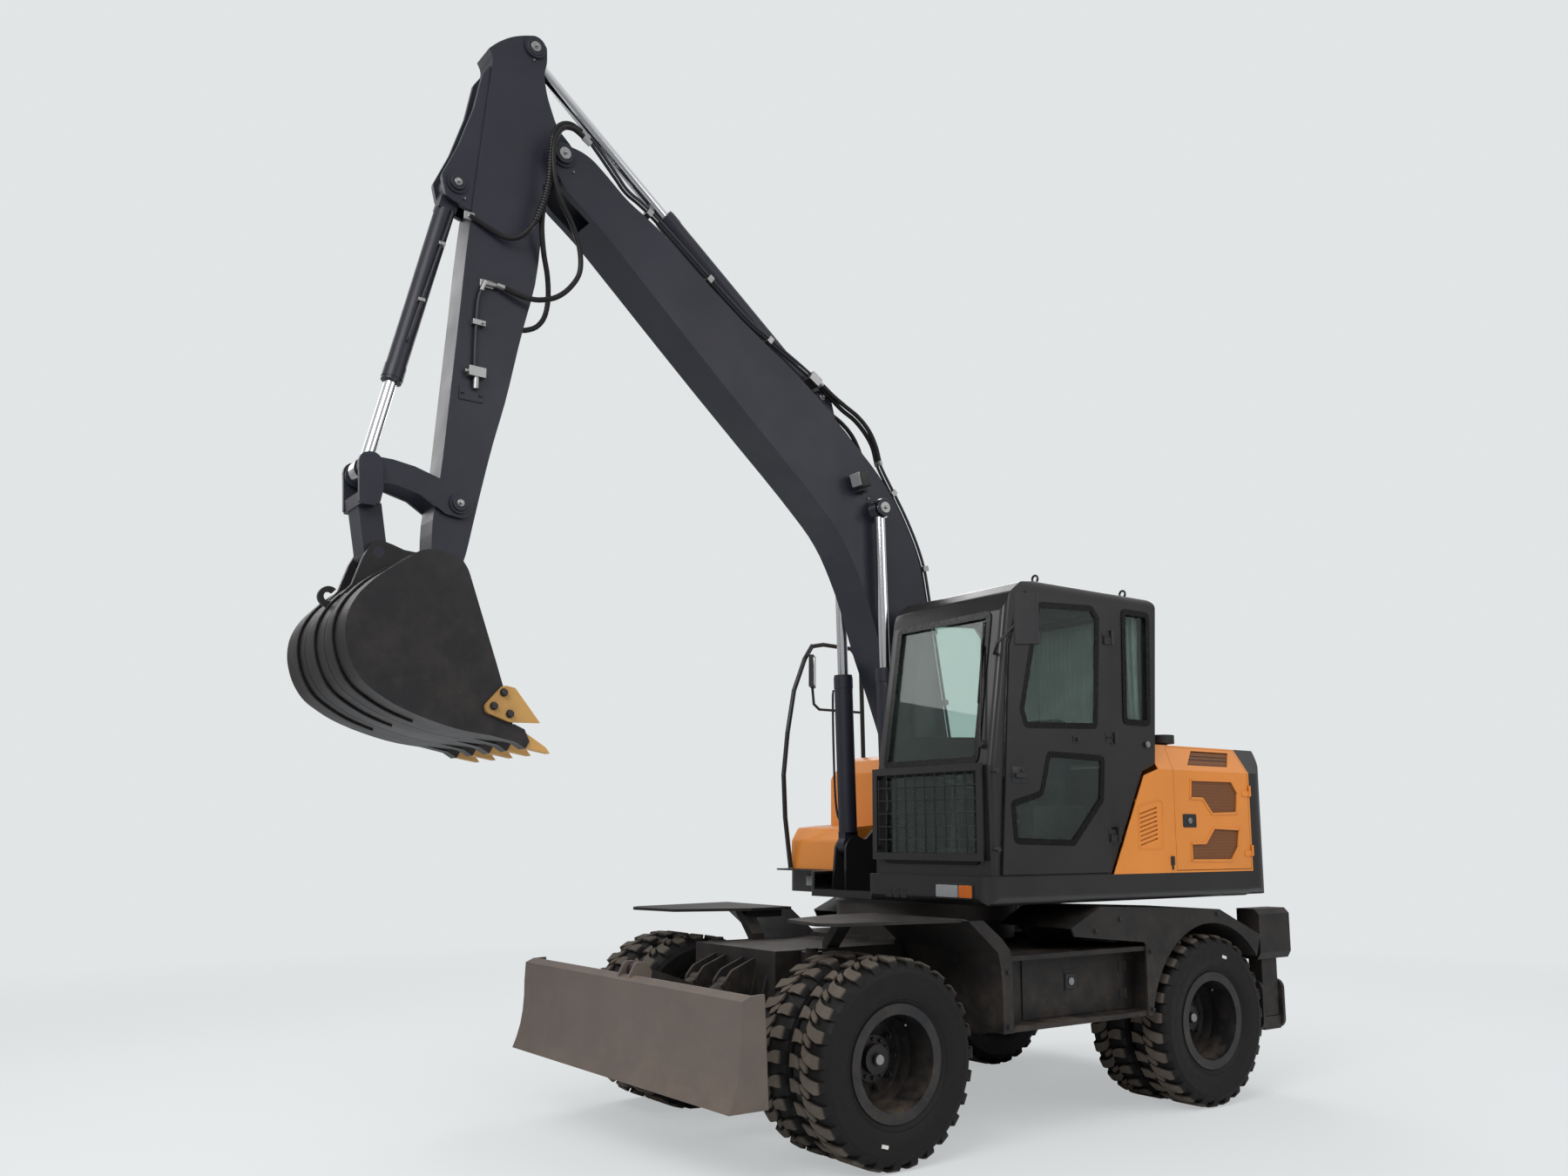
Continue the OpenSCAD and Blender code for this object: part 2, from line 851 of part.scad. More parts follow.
low_pane = [[310, 1520, 40], [1115, 1520, 40], [1115, 2040, 40], [310, 2040, 40]];
roof_pane = [[320, -250], [1105, -250], [1105, 200], [320, 200]];
cab_x0 = 220;
cab_x1 = cab_x0 + cab_w;

// What rounding an edge at p takes away, where the body lies towards way
function edge_waste(p, way, r) =
    concat(
        [for (i = [0:6])
            [p.x + way.x * (r - r * sin(i * 15)), p.y + way.y * (r - r * cos(i * 15))]],
        [[p.x - way.x * 30, p.y + way.y * r], [p.x - way.x * 30, p.y - way.y * 30],
            [p.x + way.x * r, p.y - way.y * 30]]
    );

module cab_shell() {
    color(dark) {
        for (z = [1677, 2873]) {
            bar_z(z, z + 45, [cab_x1 + 27, 432], 22);
            block([cab_x1 - 1, 432, z], [cab_x1 + 27, 470, z + 45]);
        }
        difference() {
            side_run(cab_x0, cab_x1, rounded(cab_side));
            // rounded edges of the roof and the front pillars, upright below and raked above
            for (side = [0, 1])
                translate([side * (cab_x0 + cab_x1), 0, 0])
                mirror([side, 0, 0]) {
                    front_run(-700, 950, edge_waste([cab_x0, 3165], [1, -1], 45));
                    plan_run(1400, 2060, edge_waste([cab_x0, -606], [1, 1], 34));
                    along(0, [-606, 2060], [-470, 2960])
                        translate([0, 0, -30])
                        linear_extrude(1300)
                        polygon(edge_waste([cab_x0, 0], [1, 1], 34));
                }
            side_run(cab_x0 + cab_t, cab_x1 - cab_t, inset_round(cab_side, cab_t));
            side_run(cab_x1 - cab_t - 5, cab_x1 + 5, rounded(door_outline));
            side_run(cab_x1 - cab_t - 5, cab_x1 + 5, rounded(quarter_window));
            side_run(cab_x0 - 5, cab_x0 + cab_t + 5, rounded(quarter_window));
            side_run(cab_x0 - 5, cab_x0 + cab_t + 5, rounded(upper_window));
            front_run(-720, -380, rounded(windshield));
            front_run(-720, -500, rounded(low_pane));
            front_run(760, 980, rounded([
                [330, 2250, 40], [1105, 2250, 40], [1105, 3030, 40], [330, 3030, 40]
            ]));
            plan_run(3100, 3200, roof_pane);
        }
    }
}

// Pane between the windshield's pillars, parallel to the cab's raked front
module cab_glass() {
    color(glass) {
        // right side and quarter panes
        side_run(cab_x0 + 12, cab_x0 + 18, shrunk(rounded(upper_window), fit));
        side_run(cab_x0 + 12, cab_x0 + 18, shrunk(rounded(quarter_window), fit));
        side_run(cab_x1 - 18, cab_x1 - 12, shrunk(rounded(quarter_window), fit));
        // front panes
        intersection() {
            front_run(-720, -380, shrunk(rounded(windshield), fit));
            side_run(cab_x0, cab_x1, [
                [-594, 2060], [-588, 2060], [-452, 2960], [-458, 2960]
            ]);
        }
        intersection() {
            front_run(-720, -500, shrunk(rounded(low_pane), fit));
            side_run(cab_x0, cab_x1, [
                [-590, 1500], [-584, 1500], [-590, 2050], [-596, 2050]
            ]);
        }
        // rear pane
        intersection() {
            front_run(760, 980, shrunk(rounded([
                [330, 2250, 40], [1105, 2250, 40], [1105, 3030, 40], [330, 3030, 40]
            ]), fit));
            side_run(cab_x0, cab_x1, [
                [822, 2200], [828, 2200], [876, 3050], [870, 3050]
            ]);
        }
        // roof pane
        plan_run(3142, 3148, shrunk(roof_pane, fit));
    }
}

module cab_door() {
    x = cab_x1 + 1;
    color(dark) {
        difference() {
            side_run(x, x + 16, shrunk(rounded(door_outline), 4));
            side_run(x - 5, x + 20, rounded(upper_window));
            side_run(x - 5, x + 20, rounded(lower_window));
        }
        // hinge knuckles and leaves
        for (z = [1677, 2873]) {
            bar_z(z - 45, z - 0.5, [x + 26, 432], 22);
            block([x + 16, 360, z - 45], [x + 26, 432, z - 0.5]);
        }
    }
}

module door_glass() {
    x = cab_x1 + 1;
    color(glass) {
        side_run(x + 5, x + 11, shrunk(rounded(upper_window), fit));
        side_run(x + 5, x + 11, shrunk(rounded(lower_window), fit));
    }
}

// Guard in front of the lower pane: a flat frame with crossed wires
guard = [[222, 1528], [1180, 2075]];
guard_edge = 42;
guard_y = -630;

module front_guard() {
    color(dark) {
        difference() {
            block([guard[0].x, guard_y - 7, guard[0].y], [guard[1].x, guard_y + 7, guard[1].y]);
            block([guard[0].x + guard_edge, guard_y - 20, guard[0].y + guard_edge],
                [guard[1].x - guard_edge, guard_y + 20, guard[1].y - guard_edge]);
        }
        for (i = [1:9])
            bar_z(guard[0].y + 10, guard[1].y - 10,
                [guard[0].x + guard_edge + i * (guard[1].x - guard[0].x - 2 * guard_edge) / 10,
                    guard_y - 2], 5);
        for (i = [1:5])
            bar_x(guard[0].x + 10, guard[1].x - 10,
                [guard_y + 2,
                    guard[0].y + guard_edge + i * (guard[1].y - guard[0].y - 2 * guard_edge) / 6], 5);
        // standoffs to the pillars
        for (x = [guard[0].x + 20, guard[1].x - 20])
            for (z = [1600, 2020])
                block([x - 12, guard_y, z - 12], [x + 12, -606.2, z + 12]);
    }
}

module operator_seat() {
    color(dark) {
        block([500, -60, 1483.3], [900, 330, 1620]);
        block([440, -100, 1620], [940, 380, 1760]);
        side_run(470, 910, rounded([
            [280, 1760], [375, 1760], [480, 2420, 40], [390, 2440, 40], [270, 1900]
        ]));
        both = [300, 960];
        for (x = both)
            block([x, -120, 1483.3], [x + 120, 330, 1860]);
        block([620, -480, 1483.3], [780, -340, 1600]);
        along(700, [-400, 1600], [-330, 2000])
            cylinder(d = 60, h = 420);
    }
}

module engine() {
    color(dark)
        difference() {
            block([-800, 1050, 1300], [700, 1550, 1950]);
            for (x = [boom_x - 177, boom_x + 155])
                block([x, 1000, 1290], [x + 22, 1600, 1600]);
        }
}

hood_front = [
    [-half, 1443], [half, 1443], [half, 2083], [half - 110, 2247], [-half + 110, 2247],
    [-half, 2083]
];
// Each side door wraps over the crease; its front edge leans back above it
hood_door_side = [[981, 1455], [1760, 1455], [1760, 2262], [1045, 2262], [981, 2083]];
hood_slope = 110;

// Grille openings, [y, z], in the side and in the slope above
grille_mid = [
    [1159, 2026], [1573, 2026], [1637, 1951], [1619, 1817], [1363, 1817], [1279, 1901],
    [1150, 1901]
];
grille_low = [
    [1375, 1715], [1639, 1715], [1621, 1598], [1542, 1514], [1140, 1514], [1141, 1630],
    [1293, 1630]
];
grille_top = [[1161, 2119], [1586, 2119], [1690, 2218], [1291, 2218]];

louvre_rim = [
    [617, 1590, 20], [851, 1589, 20], [872, 1885, 20], [809, 1896, 20], [630, 1858, 20]
];

module hood() {
    t = hood_t;
    color(orange) {
        difference() {
            front_run(900, 1775, hood_front);
            front_run(900 + t, 1775 - t, shrunk(hood_front, t));
            // openings behind the side doors, and the floor
            side_run(-half - 10, -half + hood_slope - 4, hood_door_side);
            side_run(half - hood_slope + 4, half + 10, hood_door_side);
            block([-half + 30, 880, 1430], [half - 30, 1800, 1452]);
            block([-300, 880, 1430], [100, 1800, 1585]);
        }
        // fixed halves of the side doors' hinges
        both_sides()
            for (z = [1575, 1965]) {
                bar_z(z, z + 35, [half + 10, 1766], 16);
                block([half - 1, 1766, z], [half + 12, 1775, z + 35]);
            }
        // panel between the cab and the left door, with its louvres
        difference() {
            side_run(half - t, half, [
                [390, 1443], [900, 1443], [900, 2083], [835, 2083], [700, 2040]
            ]);
            for (i = [0:7])
                side_run(half - t - 5, half + 5, [
                    [642, 1608 + i * 27], [808, 1650 + i * 27], [808, 1659 + i * 27],
                    [642, 1617 + i * 27]
                ]);
        }
        // pressed rim round the louvres
        difference() {
            side_run(half - 1, half + 3, rounded(louvre_rim));
            side_run(half - 2, half + 5, inset_round(louvre_rim, 7));
        }
        front_run(840, 900, [
            [half - t, 2083], [half, 2083], [half - 110, 2247], [half - 118, 2247]
        ]);
    }
}

module hood_door(side) {
    t = hood_t;
    color(orange)
        mirror([side < 0 ? 1 : 0, 0, 0]) {
            difference() {
                intersection() {
                    difference() {
                        front_run(900, 1770, [
                            [half - 130, 1400], [half - 0.5, 1400], [half - 0.5, 2083],
                            [half - hood_slope, 2246.5], [half - 130, 2246.5]
                        ]);
                        front_run(890, 1780, [
                            [half - 140, 1390], [half - t, 1390], [half - t, 2080],
                            [half - hood_slope - 4, 2240], [half - 140, 2240]
                        ]);
                    }
                    side_run(half - hood_slope + 8, half + 5, shrunk(hood_door_side, 4));
                }
                side_run(half - 20, half + 5, grille_mid);
                side_run(half - 20, half + 5, grille_low);
                side_run(half - 130, half + 5, grille_top);
            }
            for (z = [1540, 1930]) {
                bar_z(z, z + 34.5, [half + 10, 1766], 16);
                block([half - 3, 1690, z], [half + 6, 1750, z + 34.5]);
                block([half + 0.5, 1750, z], [half + 6, 1766, z + 34.5]);
            }
        }
}

module hood_door_left() {
    hood_door(1);
}

module hood_door_right() {
    hood_door(-1);
}

module intake_cap() {
    color(dark) {
        bar_z(2247.3, 2275, [980, 1200], 90);
        bar_z(2270, 2325, [980, 1200], 180);
    }
}

tail_plan = [
    [half, 1775.3], [half, 1960, 150], [560, 2110, 900], [-560, 2110, 900], [-half, 1960, 150],
    [-half, 1775.3]
];
tail_side = [
    [1732.3, 1290], [1920, 1290], [2070, 1390, 60], [2110, 1480], [2110, 2083, 30],
    [1990, 2247, 30], [1775.3, 2247], [1775.3, 1442.7], [1732.3, 1442.7]
];

module counterweight() {
    color(dark)
        difference() {
            intersection() {
                union() {
                    plan_run(1290, 2250, rounded(tail_plan));
                    block([-half, 1732.3, 1290], [half, 1780, 1442.7]);
                }
                side_run(-half, half, rounded(tail_side));
                front_run(1700, 2200, [
                    [-half + 15, 1290], [half - 15, 1290], [half, 1305], [half, 2083],
                    [half - 110, 2247], [-half + 110, 2247], [-half, 2083], [-half, 1305]
                ]);
                front_run(1700, 2200, rounded([
                    [-half, 1290, roll], [half, 1290, roll], [half, 2300], [-half, 2300]
                ]));
            }
            // recess round the tow pin
            block([-120, 2000, 1420], [120, 2200, 1560]);
        }
}

tank_side = [
    [160, 1443], [899, 1443], [899, 2250], [330, 2250, 60], [217, 2216, 40], [160, 2121, 30]
];
tank_front = [
    [-half, 1443], [-470, 1443], [-470, 2260], [-half + 110, 2247, 20], [-half, 2083, 20]
];

module fuel_tank() {
    color(orange)
        difference() {
            intersection() {
                side_run(-half, -470, rounded(tank_side));
                front_run(100, 899.7, rounded(tank_front));
            }
            intersection() {
                side_run(-half, -470, inset_round(tank_side, 8));
                front_run(100, 899.7, inset_round(tank_front, 8));
            }
        }
}

module front_box() {
    outline = [
        [-218, 1443], [159.7, 1443], [159.7, 1754], [17, 1746], [-155, 1730, 30],
        [-212, 1640, 60], [-218, 1460]
    ];
    color(orange)
        difference() {
            side_run(-half + 20, -550, rounded(outline));
            side_run(-half + 26, -556, inset_round(outline, 6));
        }
}

module handrails() {
    x = -half + 40;
    color(dark) {
        tube([
            [x, -237.5, 1445.6], [x, -287, 1805], [x, -302, 2108], [x, -269, 2415],
            [x, -212, 2729], [x, -115, 2972], [x, -47, 3073], [x, 60, 3095], [x, 325, 3087],
            [x, 420, 3000], [x, 440, 2240]
        ], 34);
        for (y = [-75, 728])
            translate([1100, y, 3165 + lift]) {
                cylinder(d = 40, h = 18);
                translate([0, 0, 38])
                    rotate([90, 0, 0])
                    rotate_extrude($fn = 24)
                    translate([22, 0])
                    circle(d = 14, $fn = 16);
            }
    }
}

// Mirror head at [x, y], turned by angle, from z0 to z1
module mirror_head(at, angle, z0, z1, w, t) {
    translate([at.x, at.y, z0])
        rotate([0, 0, angle])
        linear_extrude(z1 - z0)
        polygon(rounded([
            [-w / 2, -t / 2, t * 0.4], [w / 2, -t / 2, t * 0.4], [w / 2, t / 2, 5], [-w / 2, t / 2, 5]
        ]));
}

module mirrors() {
    color(dark) {
        x = -half + 40;
        tube([[x, 402.5, 2603], [x, 20, 2603], [x, -30, 2640], [x, -45, 2775]], 20);
        mirror_head([x, -45], -43, 2765, 3000, 170, 36);
        tube([[cab_x1 - 40, -516.6, 2700], [cab_x1 + 85, -610, 2740], [cab_x1 + 175, -530, 2860]], 18);
        mirror_head([cab_x1 + 205, -505], 45, 2725, 3015, 140, 45);
    }
}

module lamps() {
    color(steel) {
        front_run(-672, -660.3, rounded([
            [822, 1318, 16], [1130, 1318, 16], [1130, 1404, 16], [822, 1404, 16]
        ]));
        front_run(-252, -240.3, rounded([
            [-1000, 1318, 16], [-820, 1318, 16], [-820, 1404, 16], [-1000, 1404, 16]
        ]));
    }
}

// ---------------------------------------------------------------- boom and arm

boom_side = [
    [-15, 1850], [-120, 2150], [-298, 2598], [-419, 2882], [-462, 3008], [-554, 3254],
    [-721, 3572], [-1016, 3851], [-1661, 4403], [-2527, 5176], [-2730, 5319], [-2802, 5431],
    [-2846, 5498], [-2787, 5601, 50], [-2600, 5585], [-2465, 5487], [-2346, 5386],
    [-2132, 5275], [-1523, 4836], [-1015, 4546], [-388, 4011], [-194, 3746], [-71, 3493],
    [-21, 3245], [60, 2800], [150, 2300], [215, 1890]
];
// Side outlines above run clockwise
function boom_outline() = reversed(flowing(boom_side));

boom_x0 = boom_x - boom_w / 2;
boom_x1 = boom_x + boom_w / 2;
arm_x0 = boom_x - arm_w / 2;
arm_x1 = boom_x + arm_w / 2;

module boom() {
    color(slate)
        difference() {
            union() {
                side_run(boom_x0, boom_x1, boom_outline());
                bar_x(boom_x0, boom_x1, boom_foot, 250);
                bar_x(boom_x0 - 6, boom_x1 + 6, boom_cyl_top, 150);
                // ears of the arm cylinder's base pin
                for (x = [boom_x - 82, boom_x + 52])
                    side_run(x, x + 30, rounded([
                        [-930, 4470], [-700, 4240], [-762, 4480, 60], [-795, 4565, 50],
                        [-878, 4550, 50]
                    ]));
            }
            // room for the arm cylinder's base
            bar_x(boom_x - 52, boom_x + 52, arm_cyl_base, 150);
            side_run(boom_x0 + boom_t, boom_x1 - boom_t, shrunk(boom_outline(), boom_t));
            // fork round the arm
            side_run(arm_x0 - 8, arm_x1 + 8, [
                [-2900, 5250], [-2560, 5180], [-2440, 5380], [-2480, 5560], [-2560, 5640],
                [-2900, 5640]
            ]);
            bar_x(boom_x0 - 50, boom_x1 + 50, boom_foot, 111);
        }
    color(slate) {
        for (x = [arm_x0 - 8, arm_x1 + 3])
            bar_x(x, x + 5, arm_pivot, 190);
        bar_x(boom_x - 82, boom_x + 82, arm_cyl_base, 80);
        bar_x(boom_x0 - 24, boom_x1 + 24, arm_pivot, 90);
        for (x = [boom_x0 - 12, boom_x1])
            bar_x(x, x + 12, arm_pivot, 150);
        // inner ring plates that carry the foot bearing
        difference() {
            for (x = [boom_x0, boom_x1 - 40])
                bar_x(x, x + 40, boom_foot, 230);
            bar_x(boom_x0 - 50, boom_x1 + 50, boom_foot, 111);
        }
    }
}

module boom_barrels() {
    color(slate)
        for (dx = [-boom_cyl_pitch / 2, boom_cyl_pitch / 2])
            barrel(boom_x + dx, boom_cyl_base, boom_cyl_top, 1125, 122, 100, 70, 140, 72, 80, 85);
}

module boom_rods() {
    color(steel)
        for (dx = [-boom_cyl_pitch / 2, boom_cyl_pitch / 2])
            piston_rod(boom_x + dx, boom_cyl_base, boom_cyl_top, 1230, 70, 100, 130, 70, 80, 104);
}

arm_side = [
    [-3388, 3130], [-3391, 3295], [-3357, 3538], [-3294, 4500], [-3279, 4769],
    [-3244, 5188], [-3171, 6008], [-3196, 6054], [-3139, 6118], [-3062, 6179],
    [-2982, 6219], [-2920, 6240, 20], [-2850, 6200, 40], [-2845, 6092], [-2862, 6025],
    [-2841, 5897], [-2770, 5718], [-2680, 5640, 60], [-2640, 5528, 100], [-2720, 5420, 60],
    [-2845, 5340], [-2837, 5116], [-2865, 4727], [-2933, 4453], [-3019, 4000],
    [-3078, 3770], [-3143, 3453], [-3201, 3135], [-3235, 3020], [-3300, 2950, 40],
    [-3380, 3000, 40]
];

function arm_outline() = reversed(flowing(arm_side));

module arm() {
    color(slate) {
        difference() {
            union() {
                side_run(arm_x0, arm_x1, arm_outline());
                // ears of the bucket cylinder
                for (x = [boom_x - 82, boom_x + 52])
                    side_run(x, x + 30, reversed(rounded([
                        [-3180, 5960], [-3224, 5888], [-3264, 5671], [-3340, 5424],
                        [-3428, 5215, 50], [-3400, 5100, 60], [-3260, 5060], [-3230, 5100]
                    ])));
            }
            side_run(arm_x0 + boom_t, arm_x1 - boom_t, shrunk(arm_outline(), boom_t));
            // open fork at the head, round the arm cylinder's eye
            side_run(boom_x - 60, boom_x + 60, [
                [-3150, 5950], [-2950, 5760], [-2700, 5760], [-2700, 6300], [-3000, 6300],
                [-3160, 6130]
            ]);
            bar_x(arm_x0 - 50, arm_x1 + 50, arm_pivot, 91);
            bar_x(arm_x0 - 50, arm_x1 + 50, bucket_pin, 71);
        }
        difference() {
            bar_x(arm_x0, arm_x1, arm_pivot, 200);
            bar_x(arm_x0 - 50, arm_x1 + 50, arm_pivot, 91);
        }
        difference() {
            bar_x(arm_x0, arm_x1, bucket_pin, 130);
            bar_x(arm_x0 - 50, arm_x1 + 50, bucket_pin, 71);
        }
        bar_x(boom_x - 100, boom_x + 100, bucket_cyl_base, 70);
        for (x = [boom_x - 92, boom_x + 82])
            bar_x(x, x + 10, bucket_cyl_base, 120);
        bar_x(arm_x0 - 40, arm_x1 + 40, idler_pin, 65);
        for (x = [arm_x0 - 34, arm_x1 + 24])
            bar_x(x, x + 10, idler_pin, 110);
        for (x = [arm_x0 - 14, arm_x1])
            bar_x(x, x + 14, arm_top_pin, 130);
    }
}

module arm_barrel() {
    color(slate)
        barrel(boom_x, arm_cyl_base, arm_top_pin, 1489, 126, 104, 75, 150, 100, 80, 95);
}

module arm_rod() {
    color(steel)
        piston_rod(boom_x, arm_cyl_base, arm_top_pin, 1400, 75, 104, 140, 100, 80, 116);
}

// ---------------------------------------------------------------- bucket

bucket_outline = [
    [-3343, 2969], [-3383, 3020, 30], [-3527, 3047], [-3598, 3024], [-3684, 2954],
    [-3785, 2879], [-3870, 2785], [-3915, 2689], [-3921, 2585], [-3890, 2468], [-3826, 2370],
    [-3694, 2284], [-3561, 2230], [-3352, 2170], [-3060, 2140], [-3071, 2179],
    [-3141, 2408]
];
bucket_hollow = [
    [-3200, 2980], [-3345, 2945], [-3480, 2985], [-3590, 3005], [-3672, 2938],
    [-3770, 2866], [-3852, 2777], [-3895, 2685], [-3901, 2587], [-3872, 2477],
    [-3813, 2386], [-3686, 2302], [-3555, 2250], [-3350, 2191], [-3065, 2165],
    [-2950, 2158]
];
bucket_x0 = boom_x - bucket_w / 2;
bucket_x1 = boom_x + bucket_w / 2;
tooth_pitch = (bucket_w - 84) / (teeth - 1);
adapter = [
    [-3215, 2158], [-3060, 2126], [-3010, 2096], [-2990, 2132], [-3018, 2192], [-3075, 2216],
    [-3110, 2182], [-3200, 2172]
];

module bucket() {
    color(slate) {
        difference() {
            union() {
                side_run(bucket_x0, bucket_x1, flowing(bucket_outline));
                // tooth adapters over the lip
                for (i = [0:teeth - 1])
                    translate([bucket_x0 + 42 + i * tooth_pitch, 0, 0])
                        side_run(-42, 42, adapter);
            }
            side_run(bucket_x0 + 22, bucket_x1 - 22, flowing(bucket_hollow));
            // seams between the wear plates round the back
            for (i = [1:2])
                difference() {
                    translate([bucket_x0 + i * bucket_w / 3 - 4, 0, 0])
                        side_run(0, 8, [[-4000, 2000], [-3140, 2000], [-3700, 3060], [-4000, 3060]]);
                    side_run(bucket_x0, bucket_x1, shrunk(flowing(bucket_outline), 4));
                }
            // seats of the teeth
            for (i = [0:teeth - 1])
                translate([bucket_x0 + 42 + i * tooth_pitch, 0, 0])
                    side_run(-30 - fit, 30 + fit, shrunk(tooth, -fit));
            // room for the arm's tip between the ears
            side_run(arm_x0 - 6, arm_x1 + 6, [
                [-3425, 2900], [-3200, 2860], [-3200, 3100], [-3425, 3100]
            ]);
        }
        for (x = [arm_x0 - 36, arm_x1 + 6])
            difference() {
                side_run(x, x + 30, reversed(rounded([
                    [-3840, 2840], [-3790, 2900], [-3745, 3040, 40], [-3690, 3148, 50],
                    [-3600, 3125], [-3540, 3105], [-3440, 3098], [-3330, 3118, 40],
                    [-3230, 3040, 60], [-3290, 2925, 50], [-3480, 2960], [-3590, 2980],
                    [-3672, 2920]
                ])));
                bar_x(x - 5, x + 35, link_foot, 61);
            }
        bar_x(arm_x0 - 50, arm_x1 + 50, bucket_pin, 70);
        // lifting hook
        side_run(boom_x - 14, boom_x + 14, concat(
            ring_points([-3866, 2845], 52, 50, 275, 14),
            [[-3800, 2850]],
            ring_points([-3866, 2845], 25, 300, 50, 12)
        ));
    }
}

tooth = [
    [-3120, 2158], [-3040, 2121], [-3000, 2100], [-2872, 2078], [-2898, 2109], [-3019, 2183],
    [-3062, 2200], [-3066, 2158]
];

module bucket_teeth() {
    color(orange) {
        for (i = [0:teeth - 1])
            translate([bucket_x0 + 42 + i * tooth_pitch, 0, 0])
                side_run(-30, 30, tooth);
        // side cutters
        for (x = [bucket_x0 - fit - 24, bucket_x1 + fit])
            side_run(x, x + 24, rounded([
                [-2948, 2226], [-3086, 2393, 20], [-3145, 2403, 30], [-3240, 2296, 30],
                [-3225, 2262, 20], [-3104, 2222]
            ]));
    }
}

module bucket_barrel() {
    color(slate)
        barrel(boom_x, bucket_cyl_base, rod_pin, 1204, 108, 88, 65, 130, 90, 70, 150);
}

module bucket_rod() {
    color(steel)
        piston_rod(boom_x, bucket_cyl_base, rod_pin, 1150, 65, 88, 120, 90, 65, 178);
}

module idler_links() {
    color(slate)
        for (x = [arm_x0 - 22, arm_x1 + 2])
            difference() {
                side_run(x, x + 20, reversed(rounded([
                    [-3790, 3450, 55], [-3790, 3575, 55], [-3615, 3572], [-3501, 3555],
                    [-3384, 3519], [-3180, 3470, 70], [-3180, 3310, 70], [-3330, 3330],
                    [-3466, 3417], [-3591, 3450]
                ])));
                bar_x(x - 5, x + 25, idler_pin, 66);
                bar_x(x - 5, x + 25, rod_pin, 66);
            }
}

module bucket_link() {
    color(slate) {
        // fork outside the idlers
        for (x = [arm_x0 - 50, arm_x1 + 26])
            side_run(x, x + 24, reversed(rounded([
                [-3790, 3460], [-3800, 3580, 55], [-3680, 3590, 55], [-3665, 3400],
                [-3680, 3320], [-3782, 3320]
            ])));
        // cross body and the single leg down to the bucket's ears
        side_run(arm_x0 - 50, arm_x1 + 50, [
            [-3775, 3310], [-3700, 3310], [-3708, 3375], [-3782, 3375]
        ]);
        side_run(arm_x0 + 6, arm_x1 - 6, [
            [-3728, 3080], [-3610, 3080], [-3655, 3340], [-3775, 3340]
        ]);
        bar_x(arm_x0 + 4, arm_x1 - 4, link_foot, 118);
        bar_x(arm_x0 - 36, arm_x1 + 36, link_foot, 60);
    }
}

// ---------------------------------------------------------------- assembly
chassis_frame();
slew_ring();
front_fenders();
rear_fenders();
toolboxes();
toolbox_door();
front_axle();
rear_axle();
driveline();
outrigger_boxes();
outrigger_leg_left();
outrigger_leg_right();
knuckle_left();
knuckle_right();
tyres_front_left();
tyres_front_right();
tyres_rear_left();
tyres_rear_right();
rims_front_left();
rims_front_right();
rims_rear_left();
rims_rear_right();
blade_arms();
blade();
blade_link();
blade_barrels();
blade_rods();
deck();
skirts();
cab_shell();
cab_glass();
cab_door();
door_glass();
front_guard();
operator_seat();
engine();
hood();
hood_door_left();
hood_door_right();
intake_cap();
counterweight();
fuel_tank();
front_box();
handrails();
mirrors();
lamps();
boom();
boom_barrels();
boom_rods();
arm();
arm_barrel();
arm_rod();
bucket();
bucket_teeth();
bucket_barrel();
bucket_rod();
idler_links();
bucket_link();
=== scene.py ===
"""Finishes, tyres, hoses and small fittings of a wheeled excavator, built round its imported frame."""

import logging
import math
from dataclasses import dataclass
from enum import Enum
from typing import Sequence

import bmesh
import bpy
from mathutils import Matrix, Vector


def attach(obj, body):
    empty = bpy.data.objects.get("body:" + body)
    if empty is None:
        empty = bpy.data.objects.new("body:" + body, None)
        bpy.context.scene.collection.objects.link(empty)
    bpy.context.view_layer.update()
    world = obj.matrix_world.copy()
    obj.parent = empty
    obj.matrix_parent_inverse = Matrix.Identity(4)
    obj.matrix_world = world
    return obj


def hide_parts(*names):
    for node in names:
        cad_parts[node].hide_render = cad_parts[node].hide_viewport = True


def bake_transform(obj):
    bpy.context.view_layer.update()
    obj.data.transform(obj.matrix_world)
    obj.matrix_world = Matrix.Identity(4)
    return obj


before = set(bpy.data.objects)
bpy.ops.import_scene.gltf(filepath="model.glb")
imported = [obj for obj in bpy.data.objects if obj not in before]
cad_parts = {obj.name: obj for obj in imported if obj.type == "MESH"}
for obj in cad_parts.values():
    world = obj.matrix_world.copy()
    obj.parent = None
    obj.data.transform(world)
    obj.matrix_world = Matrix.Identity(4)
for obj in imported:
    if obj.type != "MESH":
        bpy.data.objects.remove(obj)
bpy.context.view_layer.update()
LOG = logging.getLogger("excavator")
MM = 0.001
# wheel centres, in millimetres
FRONT_Y, REAR_Y, AXLE_Z = -1300.0, 1295.0, 525.0
SIDES = ((1, "left"), (-1, "right"))

Point = Sequence[float]
Colour = tuple[float, float, float]
BMesh, BMVert = bmesh.types.BMesh, bmesh.types.BMVert
Material, Object, Socket = bpy.types.Material, bpy.types.Object, bpy.types.NodeSocket


def linear(red: int, green: int, blue: int) -> Colour:
    """Turns an 8-bit display colour into the linear values that a shader takes.

    Args:
        red: Red, 0 to 255.
        green: Green, 0 to 255.
        blue: Blue, 0 to 255.

    Returns:
        The three linear values.
    """
    return tuple(
        (c / 255 / 12.92) if c <= 10 else ((c / 255 + 0.055) / 1.055) ** 2.4
        for c in (red, green, blue)
    )


# ---------------------------------------------------------------- finishes


